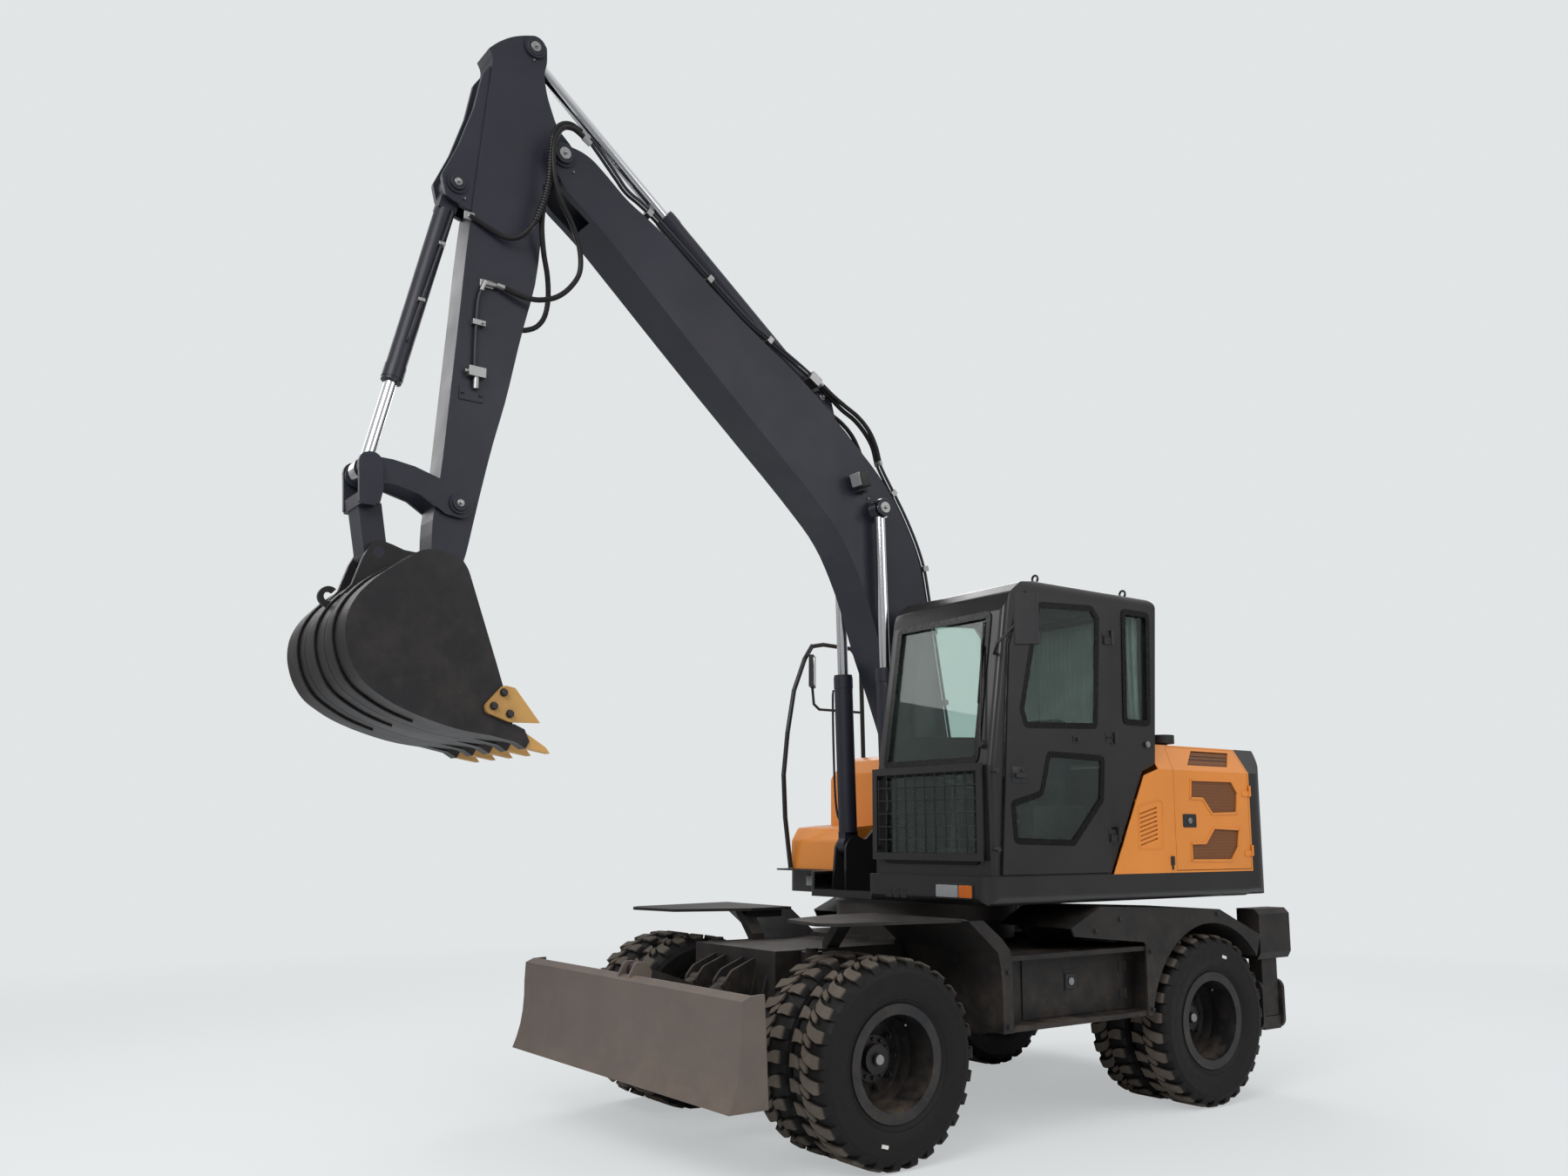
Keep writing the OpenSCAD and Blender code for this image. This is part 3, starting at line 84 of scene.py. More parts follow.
class Slot(Enum):
    """Material slots of the part's record, which the finishes' table maps each finish to."""

    ORANGE = "orange"
    DARK = "dark"
    SLATE = "slate"
    CHASSIS = "chassis_dark"
    CHROME = "chrome"
    CAST = "cast"
    TYRE = "tyre"
    PLASTIC = "plastic"
    SEAT = "seat"
    LENS = "lens"


class Nodes:
    """Small helper that adds and joins the nodes of one material or world."""

    def __init__(self, name: str, world: bpy.types.World | None = None) -> None:
        """Starts an empty material, or empties a world.

        Args:
            name: The material's name.
            world: The world, or None for a new material.
        """
        self.material = world or bpy.data.materials.new(name)
        self.material.use_nodes = True
        self.tree = self.material.node_tree
        self.tree.nodes.clear()
        self.coords = self.add("ShaderNodeTexCoord").outputs["Object"]

    def add(self, kind: str, **values: object) -> bpy.types.Node:
        """Adds a node and sets its attributes and its input values.

        Args:
            kind: Blender's node type.
            values: Attributes by name, or inputs by name with spaces as underscores.

        Returns:
            The new node.
        """
        node = self.tree.nodes.new(kind)
        for key, value in values.items():
            if hasattr(node, key):
                setattr(node, key, value)
            else:
                node.inputs[key.replace("_", " ")].default_value = value
        return node

    def join(self, source: Socket, target: Socket) -> None:
        """Links one socket to another."""
        self.tree.links.new(source, target)

    def noise(self, scale: float, detail: float = 4.0, rough: float = 0.55, stretch: Point = (1, 1, 1)) -> Socket:
        """Adds fractal noise on object coordinates.

        Args:
            scale: Cells per metre.
            detail: Octaves.
            rough: Strength of the finer octaves.
            stretch: Scale along each axis.

        Returns:
            The noise value's socket, from 0 to 1.
        """
        mapping = self.add("ShaderNodeMapping")
        mapping.inputs["Scale"].default_value = stretch
        self.join(self.coords, mapping.inputs["Vector"])
        node = self.add("ShaderNodeTexNoise", Scale=scale, Detail=detail, Roughness=rough)
        self.join(mapping.outputs[0], node.inputs["Vector"])
        return node.outputs["Fac"]

    def ramp(self, source: Socket, low: float, high: float, to_low: float = 0.0, to_high: float = 1.0) -> Socket:
        """Stretches a value between two limits, clamped.

        Args:
            source: The value.
            low: Value that becomes to_low.
            high: Value that becomes to_high.
            to_low: Result at low.
            to_high: Result at high.

        Returns:
            The result's socket.
        """
        node = self.add("ShaderNodeMapRange", clamp=True)
        for name, value in (("From Min", low), ("From Max", high), ("To Min", to_low), ("To Max", to_high)):
            node.inputs[name].default_value = value
        self.join(source, node.inputs["Value"])
        return node.outputs["Result"]

    def math(self, operation: str, a: Socket, b: Socket | float) -> Socket:
        """Adds a math node on a socket and a socket or number.

        Args:
            operation: Blender's name of the operation.
            a: First input.
            b: Second input.

        Returns:
            The result's socket.
        """
        node = self.add("ShaderNodeMath", operation=operation)
        self.join(a, node.inputs[0])
        if isinstance(b, (int, float)):
            node.inputs[1].default_value = b
        else:
            self.join(b, node.inputs[1])
        return node.outputs[0]

    def mix(self, share: Socket, a: Socket | Colour, b: Socket | Colour) -> Socket:
        """Mixes two colours.

        Args:
            share: How much of b, 0 to 1.
            a: First colour.
            b: Second colour.

        Returns:
            The mixed colour's socket.
        """
        node = self.add("ShaderNodeMix", data_type="RGBA")
        self.join(share, node.inputs[0])
        for value, socket in ((a, node.inputs[6]), (b, node.inputs[7])):
            if isinstance(value, Socket):
                self.join(value, socket)
            else:
                socket.default_value = (*value, 1.0)
        return node.outputs[2]

    def layer(self, share: Socket, a: Socket, b: Socket) -> Socket:
        """Mixes two shaders.

        Args:
            share: How much of b, 0 to 1.
            a: First shader.
            b: Second shader.

        Returns:
            The mixed shader's socket.
        """
        node = self.add("ShaderNodeMixShader")
        for source, target in zip((share, a, b), node.inputs):
            self.join(source, target)
        return node.outputs[0]

    def axis(self, vector: Socket, name: str) -> Socket:
        """Returns the socket of one axis of a vector."""
        node = self.add("ShaderNodeSeparateXYZ")
        self.join(vector, node.inputs[0])
        return node.outputs[name]

    def height(self) -> Socket:
        """Returns the socket of the height above the ground, in metres."""
        return self.axis(self.coords, "Z")

    def upward(self) -> Socket:
        """Returns the socket of how far the surface faces up, -1 to 1."""
        return self.axis(self.add("ShaderNodeNewGeometry").outputs["Normal"], "Z")

    def finish(self, colour: Socket, roughness: Socket,
               bump: Socket | None = None, depth: float = 0.0005,
               **fixed: float) -> Material:
        """Closes the material with a principled shader.

        Args:
            colour: Base colour's socket.
            roughness: Roughness's socket.
            bump: Height's socket for the bump, or None.
            depth: Height in metres that bump's 1 stands for.
            fixed: Constant inputs by name, with spaces as underscores.

        Returns:
            The finished material.
        """
        shader = self.add("ShaderNodeBsdfPrincipled")
        for key, value in fixed.items():
            shader.inputs[key.replace("_", " ")].default_value = value
        self.join(colour, shader.inputs["Base Color"])
        self.join(roughness, shader.inputs["Roughness"])
        if bump is not None:
            node = self.add("ShaderNodeBump", Distance=depth, Strength=1.0)
            self.join(bump, node.inputs["Height"])
            self.join(node.outputs[0], shader.inputs["Normal"])
        self.join(shader.outputs[0], self.add("ShaderNodeOutputMaterial").inputs["Surface"])
        return self.material


@dataclass(frozen=True)
class Paint:
    """Sprayed coat on steel sheet, with orange-peel, cloudy gloss and settled dust."""

    name: str
    colour: Colour
    dust: Colour = linear(140, 122, 104)
    rough: float = 0.34
    coat: float = 0.25
    cloud: float = 0.10
    dust_top: float = 1.3
    dust_share: float = 0.25
    gloss: float = 0.3

    def make(self) -> Material:
        """Builds the coat.

        Returns:
            The material.
        """
        n = Nodes(self.name)
        cloud = n.noise(1.7, 5.0)
        fine = n.noise(26.0, 6.0, 0.65)
        darker = tuple(c * (1 - self.cloud) for c in self.colour)
        lighter = tuple(min(1.0, c * (1 + self.cloud) + 0.002) for c in self.colour)
        base = n.mix(n.ramp(cloud, 0.35, 0.65), darker, lighter)
        low = n.ramp(n.height(), 0.2, self.dust_top, 1.0, 0.12)
        patch = n.ramp(n.noise(5.5, 8.0, 0.7), 0.42, 0.72)
        flat = n.ramp(n.upward(), 0.2, 0.95, 0.35, 1.0)
        share = n.math("MULTIPLY", n.math("MULTIPLY", low, patch), n.math("MULTIPLY", flat, self.dust_share * 2))
        speck = n.math("MULTIPLY", n.ramp(fine, 0.62, 0.70), 0.10)
        share = n.math("MINIMUM", n.math("ADD", share, n.math("MULTIPLY", speck, low)), 1.0)
        colour = n.mix(share, base, self.dust)
        gloss = n.ramp(n.noise(3.1, 6.0), 0.3, 0.7, self.rough - 0.05, self.rough + 0.08)
        rough = n.math("MINIMUM", n.math("ADD", gloss, n.math("MULTIPLY", share, 0.6)), 0.95)
        peel = n.noise(420.0, 2.0)
        return n.finish(colour, rough, peel, 0.00006, Coat_Weight=self.coat,
                        Coat_Roughness=0.12, Specular_IOR_Level=self.gloss)


@dataclass(frozen=True)
class Metal:
    """Bare, plated or cast metal with fine grain along one axis."""

    name: str
    colour: Colour
    rough: float = 0.22
    metallic: float = 1.0
    grain: Point = (1, 1, 12)
    stain: Colour = linear(92, 78, 64)
    stain_share: float = 0.15
    pits: float = 0.00008

    def make(self) -> Material:
        """Builds the metal.

        Returns:
            The material.
        """
        n = Nodes(self.name)
        grain = n.noise(60.0, 6.0, 0.6, self.grain)
        stain = n.ramp(n.noise(8.0, 7.0, 0.7), 0.5, 0.78, 0.0, self.stain_share)
        base = n.mix(grain, tuple(c * 0.86 for c in self.colour), self.colour)
        colour = n.mix(stain, base, self.stain)
        rough = n.math("ADD", n.ramp(grain, 0.3, 0.7, self.rough - 0.05, self.rough + 0.07),
                       n.math("MULTIPLY", stain, 0.9))
        return n.finish(colour, rough, grain, self.pits, Metallic=self.metallic)


@dataclass(frozen=True)
class Rubber:
    """Moulded rubber, dusty on what faces out and where it touches the ground."""

    name: str
    colour: Colour = linear(24, 24, 26)
    dust: Colour = linear(104, 90, 76)
    dust_share: float = 0.5
    rough: float = 0.62
    wheel_dust: bool = False

    def tread(self, n: Nodes) -> Socket:
        """Returns a mask that grows from the side wall to the tread.

        Args:
            n: The material's nodes.

        Returns:
            The mask's socket, close to 0 on the side wall and 1 on the tread.
        """
        along = n.math("ABSOLUTE", n.math("ADD", n.axis(n.coords, "Y"), -(FRONT_Y + REAR_Y) / 2 * MM), 0.0)
        along = n.math("SUBTRACT", along, (REAR_Y - FRONT_Y) / 2 * MM)
        up = n.math("SUBTRACT", n.height(), AXLE_Z * MM)
        square = n.math("ADD", n.math("MULTIPLY", along, along), n.math("MULTIPLY", up, up))
        shoulder, top = 0.506, 0.519
        return n.ramp(n.math("SQRT", square, 0.0), shoulder, top, 0.04, 1.0)

    def make(self) -> Material:
        """Builds the rubber.

        Returns:
            The material.
        """
        n = Nodes(self.name)
        cloud = n.ramp(n.noise(7.0, 8.0, 0.65), 0.34, 0.74)
        smear = n.ramp(n.noise(31.0, 5.0, 0.7), 0.35, 0.75)
        share = n.math("MULTIPLY", n.math("MULTIPLY", cloud, smear), self.dust_share * 1.6)
        if self.wheel_dust:
            share = n.math("MULTIPLY", n.ramp(share, 0.0, self.dust_share, 0.42, self.dust_share), self.tread(n))
        share = n.math("MINIMUM", share, self.dust_share)
        colour = n.mix(share, self.colour, self.dust)
        rough = n.math("ADD", n.ramp(smear, 0.0, 1.0, self.rough - 0.08, self.rough + 0.08),
                       n.math("MULTIPLY", share, 0.4))
        return n.finish(colour, rough, n.noise(220.0, 3.0), 0.00025, Specular_IOR_Level=0.22)


@dataclass(frozen=True)
class TintedGlass:
    """Green-tinted safety glass with a light film of dust."""

    name: str
    colour: Colour = linear(204, 222, 216)
    film: float = 0.05

    def make(self) -> Material:
        """Builds the glass.

        Returns:
            The material.
        """
        n = Nodes(self.name)
        film = n.ramp(n.noise(4.0, 7.0, 0.7), 0.45, 0.8, 0.0, self.film)
        colour = n.mix(film, self.colour, linear(190, 196, 192))
        rough = n.math("ADD", n.ramp(n.noise(2.0, 3.0), 0.3, 0.7, 0.0, 0.02), film)
        return n.finish(colour, rough, None, 0.0, Transmission_Weight=0.99, IOR=1.33, Alpha=1.0,
                        Specular_IOR_Level=0.6)


@dataclass(frozen=True)
class Plastic:
    """Moulded plastic with a fine leather-like grain."""

    name: str
    colour: Colour
    rough: float = 0.5
    grain: float = 340.0
    clear: float = 0.0

    def make(self) -> Material:
        """Builds the plastic.

        Returns:
            The material.
        """
        n = Nodes(self.name)
        cloud = n.noise(9.0, 5.0)
        colour = n.mix(cloud, tuple(c * 0.88 for c in self.colour), tuple(min(1, c * 1.1) for c in self.colour))
        rough = n.ramp(n.noise(22.0, 5.0), 0.3, 0.7, self.rough - 0.06, self.rough + 0.08)
        return n.finish(colour, rough, n.noise(self.grain, 2.0), 0.00012,
                        Transmission_Weight=self.clear, IOR=1.45)


@dataclass(frozen=True)
class Perforated:
    """Painted sheet with a pattern of small round holes, drawn on the flat sheet with their insides painted near black
    as painted shade.
    """

    name: str
    colour: Colour = linear(122, 76, 42)
    pitch: float = 0.02

    def make(self) -> Material:
        """Builds the sheet.

        Returns:
            The material.
        """
        n = Nodes(self.name)
        cells = n.add("ShaderNodeTexVoronoi", feature="F1", Scale=1 / self.pitch, Randomness=0.0)
        n.join(n.coords, cells.inputs["Vector"])
        hole = n.ramp(cells.outputs["Distance"], 0.36, 0.44)
        # the holes get a near-black colour: painted shade of the dark space behind the sheet
        colour = n.mix(hole, linear(6, 6, 6), self.colour)
        rough = n.ramp(n.noise(40.0, 4.0), 0.3, 0.7, 0.45, 0.65)
        return n.finish(colour, rough, hole, 0.001, Metallic=0.3)


@dataclass(frozen=True)
class Cloth:
    """Plain woven cloth."""

    name: str
    colour: Colour = linear(206, 208, 206)

    def make(self) -> Material:
        """Builds the cloth.

        Returns:
            The material.
        """
        n = Nodes(self.name)
        weave = n.math("MULTIPLY", n.noise(900.0, 1.0, 0.5, (1, 1, 0.2)), n.noise(900.0, 1.0, 0.5, (0.2, 0.2, 1)))
        shade = n.ramp(n.noise(6.0, 4.0), 0.3, 0.7)
        colour = n.mix(shade, tuple(c * 0.8 for c in self.colour), self.colour)
        return n.finish(colour, n.ramp(weave, 0.1, 0.5, 0.8, 0.95), weave, 0.0004, Sheen_Weight=0.2)


class Finishes:
    """Every finish of the machine, each made once, and the slot that it belongs to."""

    def __init__(self) -> None:
        """Builds all materials and the table of their slots."""
        self.body = Paint("charcoal_body", linear(28, 27, 27), rough=0.36, coat=0.3, dust_share=0.1).make()
        self.boom = Paint("slate_boom", linear(33, 34, 44), rough=0.42, coat=0.05, dust_share=0.1).make()
        self.chassis = Paint("charcoal_chassis", linear(28, 26, 26), rough=0.52, coat=0.0,
                             dust_top=1.4, dust_share=0.3).make()
        self.blade = Paint("worn_blade", linear(94, 84, 78), rough=0.5, coat=0.0, cloud=0.05, dust_top=1.6,
                           dust_share=0.34).make()
        self.orange = Paint("orange_body", linear(218, 134, 54), rough=0.32, coat=0.4, cloud=0.05,
                            dust_share=0.06).make()
        self.tooth = Paint("ochre_teeth", linear(176, 134, 74), rough=0.5, coat=0.0, cloud=0.25,
                           dust_share=0.3, dust_top=3.4).make()
        self.chrome = Metal("chromed_rod", (0.74, 0.75, 0.77), 0.12, stain_share=0.05).make()
        self.zinc = Metal("zinc_fitting", (0.36, 0.36, 0.36), 0.36, stain_share=0.2, grain=(1, 1, 1)).make()
        self.dark_steel = Metal("dark_steel", linear(52, 50, 50), 0.5, metallic=0.5, grain=(1, 1, 1),
                                stain_share=0.35, pits=0.0002).make()
        self.tube = Paint("painted_tube", linear(34, 35, 42), rough=0.4, coat=0.05, dust_share=0.1).make()
        self.bucket = Paint("bucket_steel", linear(24, 23, 26), rough=0.46, coat=0.0, dust_share=0.25,
                            dust_top=3.4).make()
        self.grille = Perforated("perforated_sheet").make()
        self.cloth = Cloth("curtain_cloth").make()
        self.rim = Paint("black_rim", linear(27, 27, 29), rough=0.42, coat=0.1, dust_top=1.4,
                         dust_share=0.22).make()
        self.cast = Metal("cast_iron", linear(70, 66, 64), 0.55, metallic=0.6, grain=(1, 1, 1),
                          stain_share=0.4, pits=0.0004).make()
        self.tyre = Rubber("tyre_rubber", linear(13, 12, 13), dust=linear(128, 117, 106), dust_share=0.62,
                           wheel_dust=True).make()
        self.hose = Rubber("hose_rubber", linear(20, 20, 22), dust_share=0.08, rough=0.45).make()
        self.glass = TintedGlass("tinted_glass").make()
        self.plastic = Plastic("black_plastic", linear(30, 30, 32)).make()
        self.seat = Plastic("seat_vinyl", linear(44, 44, 48), 0.6, 180.0).make()
        self.lens = Plastic("clear_lens", (0.62, 0.64, 0.65), 0.12, 90.0, clear=0.6).make()
        self.seal = Rubber("window_seal", linear(5, 5, 6), dust_share=0.02, rough=0.3).make()
        self.tag = Plastic("white_tag", linear(214, 214, 210), 0.5, 90.0).make()
        self.amber = Plastic("amber_lens", linear(214, 112, 34), 0.14, 90.0, clear=0.25).make()
        groups = {
            Slot.CHROME: (self.chrome, self.zinc),
            Slot.PLASTIC: (self.plastic, self.tag, self.seal, self.hose),
            Slot.SLATE: (self.boom, self.tube, self.bucket),
            Slot.SEAT: (self.seat, self.cloth),
            Slot.LENS: (self.lens, self.amber),
            Slot.CHASSIS: (self.dark_steel,),
            Slot.TYRE: (self.tyre,),
            Slot.CAST: (self.grille,),
            Slot.ORANGE: (self.orange,),
            Slot.DARK: (self.body,),
        }
        self.slots = {material.name: slot for slot, materials in groups.items() for material in materials}

    def by_node(self) -> dict[str, Material]:
        """Says which finish each CAD node wears.

        Returns:
            Material by node name.
        """
        groups: list[tuple[Material, str]] = [
            (self.chassis, "chassis_frame front_fenders rear_fenders toolboxes toolbox_door front_axle rear_axle "
                           "driveline outrigger_boxes outrigger_leg_left outrigger_leg_right knuckle_left "
                           "knuckle_right blade_arms blade_link blade_barrels"),
            (self.blade, "blade"),
            (self.body, "deck skirts cab_shell cab_door front_guard counterweight handrails"),
            (self.plastic, "mirrors intake_cap"),
            (self.rim, "rims_front_left rims_front_right rims_rear_left rims_rear_right"),
            (self.boom, "boom boom_barrels arm arm_barrel bucket_barrel idler_links bucket_link"),
            (self.bucket, "bucket"),
            (self.orange, "hood hood_door_left hood_door_right fuel_tank front_box"),
            (self.chrome, "boom_rods arm_rod bucket_rod blade_rods"),
            (self.cast, "engine slew_ring"),
            (self.tyre, "tyres_front_left tyres_front_right tyres_rear_left tyres_rear_right"),
            (self.glass, "cab_glass door_glass"),
            (self.seat, "operator_seat"),
            (self.lens, "lamps"),
            (self.tooth, "bucket_teeth"),
        ]
        return {node: material for material, names in groups for node in names.split()}

    def dress_frame(self) -> None:
        """Gives every CAD node its finish."""
        table = self.by_node()
        for name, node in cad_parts.items():
            node.data.materials.clear()
            node.data.materials.append(table.get(name, self.body))
        LOG.info("dressed %d frame nodes", len(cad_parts))


# ---------------------------------------------------------------- shapes


def catmull(points: Sequence[Point], step: float = 22.0) -> list[Vector]:
    """Draws a smooth line through a route's points.

    Args:
        points: The route, in millimetres.
        step: Distance between the points of the result, in millimetres.

    Returns:
        Points along the line.
    """
    route = [Vector(p) for p in points]
    ends = [route[0] * 2 - route[1], *route, route[-1] * 2 - route[-2]]
    line: list[Vector] = []
    for a, b, c, d in zip(ends, ends[1:], ends[2:], ends[3:]):
        count = max(2, round((c - b).length / step))
        for i in range(count):
            t = i / count
            line.append(0.5 * (2 * b + (c - a) * t + (2 * a - 5 * b + 4 * c - d) * t * t
                               + (3 * b - a - 3 * c + d) * t * t * t))
    return [*line, route[-1]]


def facing(axis: Point) -> Matrix:
    """Returns the turn that takes Z to an axis."""
    return Vector(axis).to_track_quat("Z", "Y").to_matrix().to_4x4()


def add_block(mesh: BMesh, low: Point, high: Point, turn: Matrix | None = None) -> list[BMVert]:
    """Adds a box between two corners, turned about its own middle.

    Args:
        mesh: The shape to add to.
        low: Lowest corner, in millimetres.
        high: Highest corner.
        turn: Rotation about the box's middle, or None.

    Returns:
        The box's vertices.
    """
    low, high = Vector(low), Vector(high)
    size = Matrix.Diagonal((*(high - low), 1.0))
    place = Matrix.Translation((low + high) / 2) @ (turn or Matrix()) @ size
    return bmesh.ops.create_cube(mesh, size=1.0, matrix=place)["verts"]


def add_rod(mesh: BMesh, a: Point, b: Point, diameter: float, segments: int = 28, far: float | None = None) -> None:
    """Adds a rod or cone between two points.

    Args:
        mesh: The shape to add to.
        a: Middle of the first end, in millimetres.
        b: Middle of the second end.
        diameter: Diameter at a.
        segments: Sides.
        far: Diameter at b, where it differs.
    """
    a, b = Vector(a), Vector(b)
    bmesh.ops.create_cone(mesh, cap_ends=True, cap_tris=False, segments=segments, radius1=diameter / 2,
                          radius2=(far if far is not None else diameter) / 2, depth=(b - a).length,
                          matrix=Matrix.Translation((a + b) / 2) @ facing(b - a))


def add_bolt(mesh: BMesh, at: Point, axis: Point, across: float) -> None:
    """Adds a hexagon bolt head on its washer.

    Args:
        mesh: The shape to add to.
        at: Where the washer sits, in millimetres.
        axis: Direction in which the head stands.
        across: Size over the corners of the hexagon.
    """
    at, axis = Vector(at), Vector(axis).normalized()
    washer, head, chamfer = (at + axis * across * share for share in (0.12, 0.62, 0.70))
    add_rod(mesh, at, washer, across * 1.25, 18)
    add_rod(mesh, washer, head, across, 6)
    add_rod(mesh, head, chamfer, across * 0.98, 6, across * 0.82)


def add_plate(mesh: BMesh, outline: Sequence[Point], along: Point) -> None:
    """Adds a plate, from a flat outline pushed along a vector.

    Args:
        mesh: The shape to add to.
        outline: Corners of one face, in millimetres.
        along: Vector to the other face.
    """
    face = mesh.faces.new([mesh.verts.new(p) for p in outline])
    moved = far_verts(bmesh.ops.extrude_face_region(mesh, geom=[face], use_keep_orig=True)["geom"])
    bmesh.ops.translate(mesh, verts=moved, vec=Vector(along))


def round_outline(points: Sequence[tuple[float, float]], radius: float, steps: int = 5) -> list[tuple[float, float]]:
    """Rounds every corner of a flat outline.

    Args:
        points: The outline's corners.
        radius: Radius of the corners.
        steps: Stretches in each corner.

    Returns:
        The rounded outline.
    """
    line = []
    for i, corner in enumerate(points):
        q = Vector((*corner, 0))
        a = (Vector((*points[i - 1], 0)) - q).normalized()
        b = (Vector((*points[(i + 1) % len(points)], 0)) - q).normalized()
        half_angle = a.angle(b) / 2
        reach = radius / math.tan(half_angle)
        start, end = q + a * reach, q + b * reach
        for k in range(steps + 1):
            t = k / steps
            p = start.lerp(q, t).lerp(q.lerp(end, t), t)
            line.append((p.x, p.y))
    return line


def grow_outline(corners: Sequence[tuple[float, float]], by: float) -> list[tuple[float, float]]:
    """Moves an outline's corners away from their middle.

    Args:
        corners: The outline.
        by: Distance.

    Returns:
        The larger outline.
    """
    middle = Vector((sum(c[0] for c in corners) / len(corners), sum(c[1] for c in corners) / len(corners)))
    return [tuple(Vector(c) + (Vector(c) - middle).normalized() * by) for c in corners]


def far_verts(grown: Sequence[object]) -> list[BMVert]:
    """Returns the vertices among what an extrusion made."""
    return [g for g in grown if isinstance(g, BMVert)]


def soften(mesh: BMesh, offset: float, segments: int) -> None:
    """Rounds every edge of a shape, by a width in millimetres."""
    bmesh.ops.bevel(mesh, geom=list(mesh.edges), offset=offset, offset_type="OFFSET", segments=segments, profile=0.5,
                    affect="EDGES", material=-1)


def add_loop(mesh: BMesh, outline: Sequence[Point], width: float, out: Point, height: float) -> None:
    """Adds a raised band that follows a closed outline, such as a window's rubber seal.

    Args:
        mesh: The shape to add to.
        outline: The band's outer edge, in millimetres.
        width: Width of the band.
        out: Direction in which the band stands.
        height: How far it stands.
    """
    verts = [mesh.verts.new(p) for p in outline]
    face = mesh.faces.new(verts)
    face.normal_update()
    bmesh.ops.inset_individual(mesh, faces=[face], thickness=width, depth=0.0, use_even_offset=True)
    band = [f for f in mesh.faces if f is not face and any(v in verts for v in f.verts)]
    bmesh.ops.delete(mesh, geom=[face], context="FACES_ONLY")
    moved = far_verts(bmesh.ops.extrude_face_region(mesh, geom=band, use_keep_orig=True)["geom"])
    bmesh.ops.translate(mesh, verts=moved, vec=Vector(out).normalized() * height)


@dataclass
class Assembly:
    """What every dressed sub-assembly shares: its finishes, and how a shape becomes a piece."""

    finishes: Finishes

    def place(self, mesh: BMesh, name: str, body: str, material: Material, edge: float = 0.0, sharp: float = 32.0,
              slot: Slot | None = None) -> Object:
        """Turns a shape in millimetres into a piece that rides on a body.

        Args:
            mesh: The shape, freed here.
            name: The piece's name.
            body: The body that it rides on.
            material: Its finish.
            edge: Width of the bevel on its edges, in millimetres, or 0.
            sharp: Angle in degrees past which an edge stays sharp.
            slot: The record's slot, where it isn't the finish's own; not given to the piece.

        Returns:
            The piece.
        """
        bmesh.ops.remove_doubles(mesh, verts=mesh.verts, dist=0.02)
        bmesh.ops.recalc_face_normals(mesh, faces=mesh.faces)
        bmesh.ops.scale(mesh, verts=mesh.verts, vec=(MM, MM, MM))
        data = bpy.data.meshes.new(name)
        mesh.to_mesh(data)
        mesh.free()
        piece = self.dress(data, name, material, sharp)
        if edge:
            bevel = piece.modifiers.new("edge", "BEVEL")
            bevel.width, bevel.segments, bevel.limit_method = edge * MM, 2, "ANGLE"
            bevel.angle_limit = math.radians(40)
            bevel.harden_normals = False
        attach(piece, body)
        slot = slot or self.finishes.slots[material.name]
        LOG.info("%s: %d faces on %s", name, len(data.polygons), body)
        return piece

    def dress(self, data: bpy.types.Mesh, name: str, material: Material, sharp: float) -> Object:
        """Gives a mesh its finish and smooth shading, and puts it in the scene.

        Args:
            data: The mesh, in metres.
            name: The piece's name.
            material: Its finish.
            sharp: Angle in degrees past which an edge stays sharp.

        Returns:
            The piece.
        """
        data.materials.clear()
        data.materials.append(material)
        data.polygons.foreach_set("use_smooth", [True] * len(data.polygons))
        data.set_sharp_from_angle(angle=math.radians(sharp))
        piece = bpy.data.objects.new(name, data)
        bpy.context.scene.collection.objects.link(piece)
        return piece

    def line(self, name: str, route: Sequence[Point], diameter: float, material: Material,
             body: str | None) -> Object:
        """Lays a round tube along a route in millimetres.

        Args:
            name: The piece's name.
            route: Points of its centreline.
            diameter: Outside diameter.
            material: Its finish.
            body: The body that it rides on, or None for one that rides on no body.

        Returns:
            The piece, as a mesh.
        """
        curve = bpy.data.curves.new(name, "CURVE")
        curve.dimensions = "3D"
        curve.bevel_depth, curve.bevel_resolution, curve.use_fill_caps = diameter / 2 * MM, 3, True
        spline = curve.splines.new("POLY")
        points = catmull(route)
        spline.points.add(len(points) - 1)
        for knot, p in zip(spline.points, points):
            knot.co = (p.x * MM, p.y * MM, p.z * MM, 1.0)
        holder = bpy.data.objects.new(name + "_line", curve)
        bpy.context.scene.collection.objects.link(holder)
        bpy.context.view_layer.update()
        data = bpy.data.meshes.new_from_object(holder)
        bpy.data.objects.remove(holder)
        bpy.data.curves.remove(curve)
        data.name = name
        piece = self.dress(data, name, material, 50)
        if body:
            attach(piece, body)
        LOG.info("%s: %.2f m of tube", name, self.length(route))
        return piece

    def length(self, route: Sequence[Point]) -> float:
        """Measures a route.

        Args:
            route: Its points, in millimetres.

        Returns:
            Its length in metres.
        """
        points = catmull(route)
        return sum((b - a).length for a, b in zip(points, points[1:])) * MM

    def hose(self, name: str, route: Sequence[Point], diameter: float, body: str | None,
             stiffness: str = "stiff") -> Object:
        """Args:
            name: The piece's name.
            route: Points of its centreline, in millimetres.
            diameter: Outside diameter.
            body: The body that it rides on, or None for one that rides on no body.
            stiffness: How stiff it is; not used.

        Returns:
            The piece.
        """
        piece = self.line(name, route, diameter, self.finishes.hose, body)
        return piece


# ---------------------------------------------------------------- wheels


